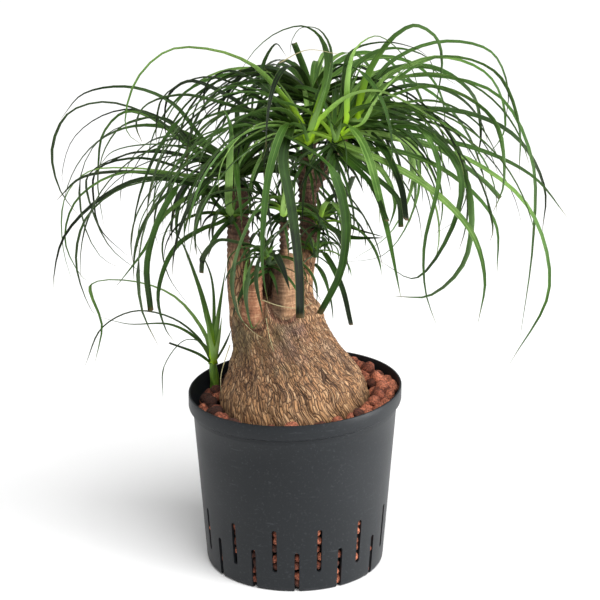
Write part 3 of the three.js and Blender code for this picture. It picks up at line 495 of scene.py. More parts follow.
def turned(profile, columns):
    """A turned shape: each [radius, height] of the profile is carried round the axis as a ring of points."""
    profile = np.asarray(profile, float)
    angle = even_turns(columns)
    radius, height = profile[:, :1], profile[:, 1:]
    flat = [radius * np.cos(angle), radius * np.sin(angle), np.broadcast_to(height, (len(profile), columns))]
    return np.stack(flat, axis=-1)


def cell_noise(places):
    """Cells round seeds, one in each unit cube: the gap between the two nearest, and the nearest's number.

    A cube's seed lies at the fraction parts of large sines of the cube's own corner. The first is its number.
    """
    mixing = np.array([[127.1, 269.5, 419.2], [311.7, 183.3, 371.9], [74.7, 246.1, 168.2]])
    large = 43758.5453
    corner = np.floor(places)
    distances, numbers = [], []
    for offset in itertools.product((-1, 0, 1), repeat=3):
        cube = corner + offset
        seed = np.modf(np.abs(np.sin(cube @ mixing) * large))[0]
        distances.append(np.linalg.norm(places - cube - seed, axis=1))
        numbers.append(seed[:, 0])
    distances, numbers = np.array(distances), np.array(numbers)
    order = np.argsort(distances, axis=0)[:2]
    nearest, second = np.take_along_axis(distances, order, axis=0)
    return second - nearest, np.take_along_axis(numbers, order[:1], axis=0)[0]


# ---- Shader building ----


class Wire:
    """An output socket of a finish: arithmetic on it adds Math nodes to the finish."""

    def __init__(self, finish, socket):
        self.finish = finish
        self.socket = socket

    def _math(self, operation, first, second):
        return self.finish.node("ShaderNodeMath", {"operation": operation}, {0: first, 1: second})

    def __add__(self, other):
        return self._math("ADD", self, other)

    __radd__ = __add__

    def __sub__(self, other):
        return self._math("SUBTRACT", self, other)

    def __rsub__(self, other):
        return self._math("SUBTRACT", other, self)

    def __mul__(self, other):
        return self._math("MULTIPLY", self, other)

    def __pow__(self, other):
        return self._math("POWER", self, other)

    def step(self, low, high):
        """Rises smoothly from 0 where the value is low to 1 where it is high."""
        settings = {"interpolation_type": "SMOOTHSTEP"}
        return self.finish.node("ShaderNodeMapRange", settings, {0: self, 1: low, 2: high})


class Finish:
    """A material being built: one method adds any node, and a few name the nodes used often."""

    def __init__(self, name):
        self.material = bpy.data.materials.new(name)
        self.material.use_nodes = True
        self.tree = self.material.node_tree
        self.tree.nodes.clear()

    def node(self, kind, settings=None, values=None, output=0):
        """Adds a node of a kind, sets its settings, then sets or links its sockets, and gives one output."""
        made = self.tree.nodes.new(kind)
        for label, value in (settings or {}).items():
            if label == "stops":
                self._set_stops(made.color_ramp, value)
            else:
                setattr(made, label, value)
        for key, value in (values or {}).items():
            if isinstance(value, Wire):
                self.tree.links.new(value.socket, made.inputs[key])
            else:
                made.inputs[key].default_value = value
        return Wire(self, made.outputs[output])

    @staticmethod
    def _set_stops(ramp, stops):
        while len(ramp.elements) < len(stops):
            ramp.elements.new(1)
        for element, (place, color) in zip(ramp.elements, stops):
            element.position = place
            element.color = (*color, 1)

    def place(self):
        return self.node("ShaderNodeTexCoord", output="Object")

    def axis(self, place, label):
        return self.node("ShaderNodeSeparateXYZ", None, {0: place}, output=label)

    def mark(self, label, output="Fac"):
        return self.node("ShaderNodeAttribute", {"attribute_name": label}, output=output)

    def noise(self, place, scale, detail=3.0, roughness=0.5):
        """Cloudy noise. A scale of three numbers draws its grain out differently along each axis."""
        if isinstance(scale, tuple):
            place = self.node("ShaderNodeVectorMath", {"operation": "MULTIPLY"}, {0: place, 1: scale})
            scale = 1.0
        values = {"Vector": place, "Scale": scale, "Detail": detail, "Roughness": roughness}
        return self.node("ShaderNodeTexNoise", None, values)

    def cells(self, place, scale, feature="F1", output=0):
        values = {"Vector": place, "Scale": scale}
        return self.node("ShaderNodeTexVoronoi", {"feature": feature}, values, output)

    def ramp(self, share, *stops):
        return self.node("ShaderNodeValToRGB", {"stops": stops}, {0: share})

    def blend(self, base, *layers):
        """Mixes colours, each a wire or a plain colour, over the base in turn, each by its share."""
        for share, color in layers:
            first, second = (part if isinstance(part, Wire) else (*part, 1) for part in (base, color))
            base = self.node("ShaderNodeMix", {"data_type": "RGBA"}, {0: share, 6: first, 7: second}, 2)
        return base

    def bump(self, height, distance, strength=1.0, under=None):
        values = {"Height": height, "Distance": distance, "Strength": strength}
        if under:
            values["Normal"] = under
        return self.node("ShaderNodeBump", None, values)

    def close(self, **values):
        """Ends the finish in a Principled shader with these sockets, their spaces written as underscores."""
        sockets = {label.replace("_", " "): value for label, value in values.items()}
        shader = self.node("ShaderNodeBsdfPrincipled", None, sockets)
        output = self.tree.nodes.new("ShaderNodeOutputMaterial")
        self.tree.links.new(shader.socket, output.inputs["Surface"])
        return self.material


# ---- Settings ----


def real(name, description, default, **kind):
    return bpy.props.FloatProperty(name=name, description=description, default=default, **kind)


def integer(name, description, default, least):
    return bpy.props.IntProperty(name=name, description=description, default=default, min=least)


def length(name, description, millimetres):
    return real(name, description, millimetres * MM, unit="LENGTH")


def tint(name, description, *display):
    return bpy.props.FloatVectorProperty(
        name=name, description=description, default=srgb(*display), size=3, min=0, max=1, subtype="COLOR"
    )


ANGLE = {"subtype": "ANGLE", "unit": "ROTATION"}
FACTOR = {"subtype": "FACTOR"}
POWER = {"unit": "POWER"}


class PotSettings(bpy.types.PropertyGroup):
    rim_diameter: length("Rim diameter", "Outer diameter of the pot's collar", 220)
    height: length("Height", "Height of the pot on its axis", 190)
    base_diameter: length("Base diameter", "Outer diameter of the pot at its foot", 185.4)
    wall: length("Wall", "Thickness of the pot's wall", 2.2)
    slot_width: length("Slot width", "Width of each slot low in the wall", 5)
    slot_count: integer("Slots", "Number of slots round the pot", 26, 2)
    lean: real("Lean", "How far the rim is tipped up at the right", math.radians(2.45), **ANGLE)
    plastic: tint("Plastic", "Colour of the moulded plastic", 30, 33, 36)


class GranuleSettings(bpy.types.PropertyGroup):
    shortest: length("Shortest", "Smallest half-width of a clay granule", 5.4)
    longest: length("Longest", "Largest half-width of a clay granule", 8.2)
    bed_height: length("Bed height", "Height of the bed on the pot's axis", 176)
    seed: integer("Seed", "Start of the granules' random draw", 5, 0)
    pale: tint("Pale clay", "Colour of the driest granules", 208, 126, 94)
    dark: tint("Dark clay", "Colour of the dampest granules", 66, 38, 29)


class BarkSettings(bpy.types.PropertyGroup):
    grain: length("Grain", "Spacing of the bark's mesh", 1.2)
    wave_depth: length("Wave depth", "Height of the long waves of cork", 1.6)
    plate_depth: length("Plate depth", "Depth of the furrows between plates of cork", 0.42)
    plate: tint("Cork", "Colour of the weathered plates", 172, 127, 88)
    furrow: tint("Furrow", "Colour deep in the furrows", 74, 52, 38)


class LeafSettings(bpy.types.PropertyGroup):
    rows: integer("Rows", "Rings along each leaf", 22, 4)
    fold: real("Fold", "How far a leaf's edges rise over its middle", 0.42, **FACTOR)
    twist: real("Twist", "Most that a leaf turns by its tip", 0.7, **ANGLE)
    fullness: real("Fullness", "Ruled leaves for each one in the plain model", 2.6, **FACTOR)
    dark: tint("Dark green", "Colour of the oldest leaves", 11, 20, 7)
    middle: tint("Middle green", "Colour of most leaves", 59, 94, 32)
    light: tint("Light green", "Colour of leaves in full light", 162, 198, 108)
    young: tint("Young green", "Colour of the newest leaf bases", 176, 222, 36)


class StageSettings(bpy.types.PropertyGroup):
    floor_width: length("Floor width", "Side of the plain floor", 40000)
    floor: tint("Floor", "Colour of the plain floor", 246, 246, 246)
    sky: real("Sky", "Strength of the even white light", 0.34)
    sun: real("Sun", "Strength of the broad light overhead", 3.1)
    key: real("Key light", "Power of the large lamp", 28, **POWER)
    low: real("Low light", "Power of the lamp by the pot", 17, **POWER)
    fill: real("Fill light", "Power of the small lamp", 3.5, **POWER)


# ---- Pot ----

POT_COLUMNS = 192
HUB = 0.5  # radius of the small flat that closes a turned shape on its axis
FLOOR_THICKNESS = 3
FOOT_TOP = 5  # height where the rounded foot ends and the straight wall starts
COLLAR_HEIGHT = 15
COLLAR_STEP = 5
STEP_LINE = 167  # height of the fine line under the collar
LOW_SLOT = (-4, 45)  # heights that a slot is cut between
HIGH_SLOT = (22, 70)
SLOT_TURN = math.radians(1.3)  # from the front to the first slot
SLOT_CORNERS = 18
DRAIN_COUNT = 3
DRAIN_WIDTH = 24
DRAIN_HEIGHT = 1.8
DRAIN_TURN = -3.8  # in slots from the first slot
CUT_REACH = np.array([8, -34])  # where a cut through the wall starts and ends, from the rim's radius
SMOOTH_ANGLE = math.radians(38)  # edges that turn by less are shaded smooth


def lean(points, pot):
    """Tips heights up to the right: z grows by z / height * tan(lean) * x."""
    height = pot.height / MM
    points[..., 2] += points[..., 2] / height * math.tan(pot.lean) * points[..., 0]
    return points


def slot_angles(pot):
    return SLOT_TURN - math.pi / 2 + even_turns(pot.slot_count)


def slots(pot):
    """The angle of each slot and the two heights that it lies between, low and high by turns."""
    for index, angle in enumerate(slot_angles(pot)):
        yield angle, *(HIGH_SLOT if index % 2 else LOW_SLOT)


def pot_finish(pot):
    """Satin slate plastic: soft mould waves, fine pebbling, and faint pale scuffs that run round the wall."""
    finish = Finish("pot_plastic")
    place = finish.place()
    cloud = finish.noise(place, 14, 2)
    scuffs = finish.noise(place, (30, 30, 260), 3, 0.65).step(0.62, 0.85)
    dust = finish.noise(place, 420, 2).step(0.55, 0.8)
    base = finish.blend(
        pot.plastic,
        (cloud.step(0.3, 0.7) * 0.5, [0.78 * part for part in pot.plastic]),
        (scuffs * 0.10 + dust * 0.05, srgb(150, 155, 160)),
    )
    pebbles = finish.bump(finish.noise(place, 1300, 2), 0.00008, 0.5)
    waves = finish.bump(finish.noise(place, (9, 9, 22), 1), 0.0012, 0.5, pebbles)
    rough = 0.42 + scuffs * 0.14 + cloud * 0.08
    return finish.close(Base_Color=base, Roughness=rough, Specular_IOR_Level=0.22, Normal=waves)


def pot_profile(rim, height, foot, wall):
    """The wall and floor as [radius, height], from the underside out, up, over the rim and down inside."""
    body, collar = rim - COLLAR_STEP, height - COLLAR_HEIGHT
    inner, inner_foot = rim - wall, foot - wall
    share = np.linspace(0, 1, 8)[1:-1, None]
    return np.vstack([
        [[HUB, 0], [foot - 30, 0], [foot - 4.2, 0], [foot - 1.6, 0.7], [foot - 0.3, 2.6]],
        [[foot + 0.05, FOOT_TOP]],
        [foot, FOOT_TOP] + share * [body - foot, STEP_LINE - 1.5 - FOOT_TOP],
        [[body - 0.05, STEP_LINE - 1.0], [body + 0.45, STEP_LINE - 0.2], [body + 0.7, STEP_LINE + 1.5]],
        [[body + 1.0, collar - 3.2], [rim - 2.2, collar - 1.6], [rim - 0.5, collar - 0.5]],
        [[rim, collar + 1.2], [rim, height - 6], [rim, height - 0.9], [rim - 0.35, height - 0.25]],
        [[rim - wall / 2, height], [inner + 0.3, height - 0.25], [inner, height - 0.9]],
        [[inner, collar + 1], [body - wall, STEP_LINE], [inner_foot - 1.5, FLOOR_THICKNESS + 2]],
        [[inner_foot - 3.5, FLOOR_THICKNESS], [HUB, FLOOR_THICKNESS]],
    ])


def make_pot(pot):
    """The wall is one turned profile. Rounded prisms are cut out for the slots, and flat ones under it."""
    rim, height, foot, wall = in_millimetres(pot, "rim_diameter", "height", "base_diameter", "wall")
    rim, foot = rim / 2, foot / 2
    rings = turned(pot_profile(rim, height, foot, wall), POT_COLUMNS)
    faces = skin_faces(1, len(rings), POT_COLUMNS)
    shell = add_piece("pot_shell", lean(rings, pot), faces, pot_finish(pot), "pot_plastic", ["pot"])
    for prisms in (slot_prisms(pot, rim), drain_prisms(pot, rim)):
        cutter = add_piece("cutter", lean(prisms, pot), skin_faces(*prisms.shape[:3]), None, "pot_plastic")
        cut = shell.modifiers.new("cut", "BOOLEAN")
        cut.operation = "DIFFERENCE"
        cut.solver = "EXACT"
        cut.object = cutter
        apply_modifiers(shell)
        bpy.data.objects.remove(cutter)
    shell.data.set_sharp_from_angle(angle=SMOOTH_ANGLE)


def slot_prisms(pot, rim):
    """Upright prisms through the slots, each outline two half circles and the straight sides between them."""
    half = pot.slot_width / MM / 2
    arc = np.linspace(0, FULL_TURN, SLOT_CORNERS, endpoint=False) + math.pi / SLOT_CORNERS
    upper = np.sin(arc) > 0
    prisms = []
    for angle, low, high in slots(pot):
        level = half * np.sin(arc) + np.where(upper, high - half, low + half)
        prisms.append(prism(half * np.cos(arc), level, angle, rim))
    return np.array(prisms)


def drain_prisms(pot, rim):
    """Flat four-sided prisms under the pot's foot, one for each drain groove."""
    across = np.array([1, -1, -1, 1]) * DRAIN_WIDTH / 2
    level = np.array([1, 1, -1, -1]) * DRAIN_HEIGHT
    turns = (DRAIN_TURN / pot.slot_count + np.arange(DRAIN_COUNT) / DRAIN_COUNT) * FULL_TURN
    return np.array([prism(across, level, angle, rim) for angle in slot_angles(pot)[0] + turns])


def prism(across, level, angle, rim):
    """An outline carried inwards through the wall: across runs square to the angle's ray, and level is up."""
    ray = np.array([math.cos(angle), math.sin(angle), 0])
    side = np.array([-math.sin(angle), math.cos(angle), 0])
    outline = -across[:, None] * side + level[:, None] * [0, 0, 1]
    return outline[None] + (rim + CUT_REACH)[:, None, None] * ray


# ---- Granules ----

BED_SLOPE = {"right": 0.05, "back": 0.065}  # rise of the bed towards each
BED_SUNK = 12  # from the bed's height down to the top of the dark block of painted shade
BED_INSET = 9  # between the dark block of painted shade and the wall
BED_COLUMNS = 96
GRANULE_SINK = 2.5  # from the bed's height down to the middles of the granules on it
# Rows of granules: radius, spacing along the row, and lift over the bed.
GRANULE_ROWS = [
    (84.0, 14.5, 2.0), (93.0, 15.0, 2.5), (101.0, 15.0, 0.5), (89.0, 14.0, -8.0), (99.0, 14.0, -9.0),
    (88.0, 23.0, 8.5),
]
ROW_SCATTER = {"turn": 0.3, "out": 1.8, "up": 1.6}  # along its row in spacings, and in millimetres
SLOT_SCATTER = {"turn": 0.035, "up": 1.5}
SLOT_PITCH = 9.6  # between granules one over another behind a slot
SLOT_ENDS = (5, 3)  # how far above a slot's foot they start, and above its head they end
SLOT_HALVES = (3.9, 5.6)
SLOT_COVER = 0.5  # least depth of a granule behind the wall's outer face
STEM_SUNK = 2  # how far granules may reach into the offset's stem
LUMP_GRID = (9, 13)  # rows and columns of a lump
LUMP_CAP = 0.10  # angle from a lump's poles to its end rings
LUMP_WAVES = ((1.6, 0.10), (2.6, 0.09), (4.2, 0.06), (6.5, 0.035))  # pitch and depth of each wave
LUMP_REACH = 1.2  # how far a lump's waves push it past its half-width


def bed_rise(x, y):
    """Height of the sloping bed over its height on the axis: a plane through the axis."""
    return BED_SLOPE["right"] * x + BED_SLOPE["back"] * y


def clay_finish(granules):
    """Fired clay: each granule its own shade of brick, pitted with pores, and paler where it is dry."""
    finish = Finish("fired_clay")
    place = finish.place()
    tone = finish.mark("tone")
    cloud = finish.noise(place, 260, 4, 0.6)
    pores = finish.cells(place, 900).step(0.05, 0.30)
    pits = finish.noise(place, 620, 3, 0.6).step(0.40, 0.56)
    shade = (tone * 0.95 + cloud * 0.6 - 0.25).step(0.05, 0.95)
    base = finish.blend(
        finish.ramp(shade, (0.0, granules.dark), (0.5, srgb(142, 76, 54)), (1.0, granules.pale)),
        ((1 - pits) * 0.65, srgb(46, 28, 22)),
        ((1 - pores) * 0.45, srgb(60, 34, 26)),
    )
    dents = finish.bump(pits * 0.6 + pores * 0.4, 0.0009, 0.8)
    grit = finish.bump(cloud, 0.0011, 0.8, dents)
    return finish.close(Base_Color=base, Roughness=0.93 - tone * 0.05, Normal=grit)


def scatter(random, most, count):
    return random.uniform(-most, most, count)


def lumps(places, halves, random):
    """Rounded lumps: spheres on a grid of turn and height, their radius 1 plus waves of each lump's own."""
    height = np.linspace(LUMP_CAP, math.pi - LUMP_CAP, LUMP_GRID[0])[:, None]
    turn = even_turns(LUMP_GRID[1])
    sides = [np.sin(height) * np.cos(turn), np.sin(height) * np.sin(turn)]
    ball = np.stack([*sides, np.broadcast_to(-np.cos(height), LUMP_GRID)], axis=-1)
    count = len(places)
    radius = np.ones((count, *LUMP_GRID))
    for pitch, depth in LUMP_WAVES:
        ways = unit(random.normal(size=(count, 3))) * pitch * random.uniform(0.8, 1.3, (count, 1))
        phase = random.uniform(0, FULL_TURN, (count, 1, 1))
        radius += depth * np.sin(np.einsum("rcx,nx->nrc", ball, ways) + phase)
    shaped = ball[None] * radius[..., None] * halves[:, None, None, :]
    turns = np.linalg.qr(random.normal(size=(count, 3, 3)))[0]
    turns *= np.sign(np.linalg.det(turns))[:, None, None]
    return np.einsum("nij,nrcj->nrci", turns, shaped) + places[:, None, None, :]


def make_granules(granules, pot):
    """Rows of lumps round the trunk on a sloping bed, columns of them behind the slots, and a bed painted
    dark as shade.
    """
    random = np.random.default_rng(granules.seed)
    shortest, longest, bed = in_millimetres(granules, "shortest", "longest", "bed_height")
    finish = clay_finish(granules)
    rows = []
    for radius, spacing, lift in GRANULE_ROWS:
        count = int(FULL_TURN * radius / spacing)
        angle = (np.arange(count) + scatter(random, ROW_SCATTER["turn"], count)) / count * FULL_TURN + radius
        out = radius + scatter(random, ROW_SCATTER["out"], count)
        x, y = out * np.cos(angle), out * np.sin(angle)
        z = bed - GRANULE_SINK + bed_rise(x, y) + lift + scatter(random, ROW_SCATTER["up"], count)
        rows.append(np.stack([x, y, z], axis=1))
    places = np.concatenate(rows)
    *stem, _, stem_radius = OFFSET_STEM[1]
    clear = longest + stem_radius - STEM_SUNK
    places = places[np.linalg.norm(places[:, :2] - stem, axis=1) > clear]
    halves = random.uniform(shortest, longest, (len(places), 3))
    places = inside_wall(places, halves, pot)
    add_lumps("granules_on_top", places, halves, 100, finish, pot, random, ["clay_granules"])

    columns = []
    for angle, low, high in slots(pot):
        z = np.arange(max(low, FLOOR_THICKNESS) + SLOT_ENDS[0], high + SLOT_ENDS[1], SLOT_PITCH)
        z = z + scatter(random, SLOT_SCATTER["up"], len(z))
        out = np.full(len(z), inner_radius(z, pot))
        turn = angle + scatter(random, SLOT_SCATTER["turn"], len(z))
        columns.append(np.stack([out * np.cos(turn), out * np.sin(turn), z], axis=1))
    behind = np.concatenate(columns)
    halves = random.uniform(*SLOT_HALVES, (len(behind), 3))
    behind = inside_wall(behind, halves, pot, pot.wall / MM - SLOT_COVER)
    add_lumps("granules_in_slots", behind, halves, 200, finish, pot, random)
    make_bed(pot, bed)


def inner_radius(height, pot):
    """Radius of the wall's inner face, straight from the foot to the step line and again up to the collar."""
    foot, rim, wall, top = in_millimetres(pot, "base_diameter", "rim_diameter", "wall", "height")
    heights = [FOOT_TOP, STEP_LINE, top - COLLAR_HEIGHT]
    return np.interp(height, heights, [foot / 2, rim / 2 - COLLAR_STEP, rim / 2]) - wall


def inside_wall(places, halves, pot, sunk=0.0):
    """The places, moved in where their lumps would reach more than a sunk depth into the pot's wall."""
    out = np.linalg.norm(places[:, :2], axis=1)
    most = inner_radius(places[:, 2], pot) - LUMP_REACH * halves.max(axis=1) + sunk
    places[:, :2] *= np.minimum(1, most / out)[:, None]
    return places


def add_lumps(name, places, halves, across, finish, pot, random, replaced=()):
    """One piece of lumps, each of its own tone. Tones rise towards the right, by 0.12 in the width across."""
    points = lean(lumps(places, halves, random), pot)
    tone = random.uniform(0, 1, len(places)) * 0.75 + 0.12 + 0.12 * (places[:, 0] / across)
    tone = np.broadcast_to(np.clip(tone, 0, 1)[:, None, None], points.shape[:3])
    add_piece(name, points, skin_faces(*points.shape[:3]), finish, "clay", replaced, tone=tone)


def make_bed(pot, bed):
    """The bed under the granules, a turned block painted near-black as shade, whose top slopes as the
    granules do.
    """
    finish = Finish("damp_bed")
    crumbs = finish.noise(finish.place(), 380, 4, 0.7)
    # painted shade: near-black crumbs where the gaps between granules fall into shade
    base = finish.ramp(crumbs, (0.35, srgb(12, 9, 8)), (0.75, srgb(48, 30, 24)))
    painted_shade_bed_finish = finish.close(Base_Color=base, Roughness=0.9, Normal=finish.bump(crumbs, 0.003))
    low, top = FLOOR_THICKNESS + 0.6, bed - BED_SUNK
    foot, edge = inner_radius(FOOT_TOP, pot) - BED_INSET, inner_radius(top, pot) - BED_INSET
    rings = turned([[HUB, low], [foot, low], [edge, top], [HUB, top]], BED_COLUMNS)
    rings[2:, :, 2] += bed_rise(rings[2:, :, 0], rings[2:, :, 1])
    add_piece("granule_bed", lean(rings, pot), skin_faces(1, 4, BED_COLUMNS), painted_shade_bed_finish, "clay")


# ---- Trunk ----

BASE_GRID = (90, 128)  # rows and columns of the swollen base's skin
SECTION_ROWS = 200
STEM_COLUMNS = 48
SPIN_EVENING = 7  # times that the spun mesh is smoothed
# Plates of cork: the radius in plates of the ring that they stand on, and how tall they are at some heights.
PLATES = {"around": 22.5, "at": (160, 185, 212, 300), "tall": (36, 11.5, 6.4, 6)}
STEM_PLATES = {"around": 3.4, "tall": 11, "apart": 40}
SLANT = {"turn": 0.0045, "height": 190, "side": 0.7}  # radians a millimetre up, most at the right
WAVES_SHOW = {"from": 165, "to": 300, "fade": 15}
NEAR_STEM = (1.45, 1.12)  # distances from a stem's middle, in radii, over which bark turns to the stem's
RING_PITCH = 6.2
CREASE_PITCH = 4.6


def section_at(height):
    """Middle x and y and the two half-widths of the swollen base at each height."""
    table = smooth_line(TRUNK_SECTIONS, SECTION_ROWS)
    left, right, front, back = (np.interp(height, table[:, 0], table[:, side]) for side in range(1, 5))
    return (left + right) / 2, (front + back) / 2, (right - left) / 2, (back - front) / 2


def stem_lines(density, *more):
    """Each stem, and any more, as a smooth line of so many points for every place in its table."""
    return [smooth_line(places, density * len(places)) for places in (*STEMS.values(), *more)]


def trunk_skins():
    """Closed skins of the swollen base and of every stem, over which the mesh of the trunk is spun."""
    rows, columns = BASE_GRID
    height = np.linspace(TRUNK_SECTIONS[0, 0], TRUNK_SECTIONS[-1, 0], rows)[:, None]
    middle_x, middle_y, half_x, half_y = section_at(height)
    angle = even_turns(columns)
    sides = [middle_x + half_x * np.cos(angle), middle_y + half_y * np.sin(angle)]
    base = np.stack([*sides, np.broadcast_to(height, BASE_GRID)], axis=-1)
    return [base, *(round_tube(line[:, :3], line[:, 3], STEM_COLUMNS) for line in stem_lines(12))]


def nearest_stem(points):
    """For each point: the distance to the nearest stem in radii, the turn round it, and its number."""
    lines = stem_lines(10)
    samples = np.concatenate(lines)
    number = np.repeat(np.arange(len(lines)), [len(line) for line in lines])
    apart = np.linalg.norm(points[:, None] - samples[None, :, :3], axis=2) / samples[:, 3]
    nearest = apart.argmin(axis=1)
    middle = samples[nearest]
    turn = np.arctan2(points[:, 1] - middle[:, 1], points[:, 0] - middle[:, 0])
    return apart[np.arange(len(points)), nearest], turn, number[nearest]


def weave(places, *waves):
    """Moves places by sines of the other coordinates, so that straight rows of cells wander."""
    moved = places.copy()
    for axis, other, pitch, size in waves:
        moved[:, axis] += size * np.sin(places[:, other] * pitch + 1.7 * axis + other)
    return moved


def cork_waves(turn, height):
    """Long plates between furrows that wander as they climb: two sines of turn, shifted by height."""
    wander = 1.4 * np.sin(height / 21) + 0.8 * np.sin(height / 9 + 3 * turn)
    plates = np.sin(14 * turn + wander) + 0.7 * np.sin(19 * turn - 1.3 * wander + height / 15)
    low, high, fade = WAVES_SHOW["from"], WAVES_SHOW["to"], WAVES_SHOW["fade"]
    return np.clip(plates, -1, 0.8) * ease(height, low, low + fade) * ease(height, high, high - fade)


def bark_cells(turn, stem_turn, number, height, on_stem):
    """Places whose cells are the plates of bark: turn and height on a cylinder, a smaller one for stems."""
    around, heights, tall = PLATES["around"], PLATES["at"], PLATES["tall"]
    climb = np.arange(heights[0] - 30, heights[-1] + 200)
    rise = np.interp(height, climb, np.cumsum(1 / np.interp(climb, heights, tall)))
    base = np.stack([around * np.cos(turn), around * np.sin(turn), rise], axis=1)
    around, apart = STEM_PLATES["around"], STEM_PLATES["apart"] * number
    sides = [around * np.cos(stem_turn) + apart, around * np.sin(stem_turn)]
    stem = np.stack([*sides, height / STEM_PLATES["tall"]], axis=1)
    cells = np.where((on_stem > 0.5)[:, None], stem, base)
    return weave(cells, (0, 2, 2.1, 0.3), (1, 2, 1.7, 0.3), (2, 0, 0.9, 0.35), (2, 1, 1.1, 0.35))


def bark_relief(points, wave_depth, depth):
    """How far each point of the trunk moves out, and what its bark is.

    Plates are cells laid out by turn and height. Their height over the furrows grows with the gap between a
    point's two nearest seeds. Rings are a sine of height. Stumps are smooth with shallow rings.
    """
    x, y, z = points.T
    middle_x, middle_y, half_x, half_y = section_at(z)
    turn = np.arctan2((y - middle_y) / half_y, (x - middle_x) / half_x)
    turn = turn + SLANT["turn"] * (z - SLANT["height"]) * (0.5 + 0.5 * np.cos(turn + SLANT["side"]))
    apart, stem_turn, number = nearest_stem(points)
    names = list(STEMS)
    near = ease(apart, *NEAR_STEM)
    on_stem = near * ease(z, 258, 276)
    is_stump = np.isin(number, [names.index(name) for name in STUMPS]) * on_stem * ease(z, 262, 270)
    ringed = on_stem * (1 - is_stump) * ease(z, 318, 352)

    cells = bark_cells(turn, stem_turn, number, z, on_stem)
    gap, plate_number = cell_noise(cells)
    small_gap, small_number = cell_noise(cells * [1.9, 1.9, 2.2] + 11.3)
    plate = ease(gap, 0.0, 0.26)
    crack = 1 - ease(small_gap, 0.0, 0.16)
    soft = 1 - 0.8 * is_stump - 0.75 * ringed
    worn = 1 - 0.35 * ease(z, 200, 175)
    relief = (plate - 0.75 + 0.55 * (plate_number - 0.5) - 0.22 * crack) * depth * soft * worn
    relief += wave_depth * cork_waves(turn, z) * (1 - on_stem)
    rings = np.sin(z * FULL_TURN / RING_PITCH + 1.3 * np.sin(2 * stem_turn + number))
    relief += rings * (0.85 * ringed + 0.28 * is_stump) * ease(z, 262, 275)

    foot = np.zeros(len(points))
    for name in STUMPS:
        foot_x, foot_y, foot_z, radius = STEMS[name][1]
        away = np.hypot(x - foot_x, z - foot_z) / radius
        below = ease(z, foot_z + 5, foot_z - 3) * ease(y, foot_y + 4, foot_y - 6)
        foot = np.maximum(foot, ease(away, 0.86, 0.97) * ease(away, 1.34, 1.14) * below)
        creased = ease(np.abs(z - foot_z - 3), 12, 4) * is_stump
        relief += 0.5 * creased * np.sin(z * FULL_TURN / CREASE_PITCH + 0.8 * np.sin(3 * stem_turn))
    relief -= 1.8 * foot
    furrow = (1 - ease(gap, 0.01, 0.2)) * soft * worn + 0.35 * crack * soft + 0.85 * foot
    return relief, {
        "furrow": np.clip(furrow, 0, 1),
        "plate": 0.6 * plate_number + 0.4 * small_number,
        "ringed": ringed,
        "stump": is_stump,
        "front_stump": is_stump * (number == names.index("front_stump")),
        "foot": foot,
        # painted shade: the back stump above its foot, marked to be painted nearly black as the shade between
        # the stumps
        "behind": (number == names.index("back_stump")) * ease(z, 270, 284) * near,
        "weave": cells,
    }


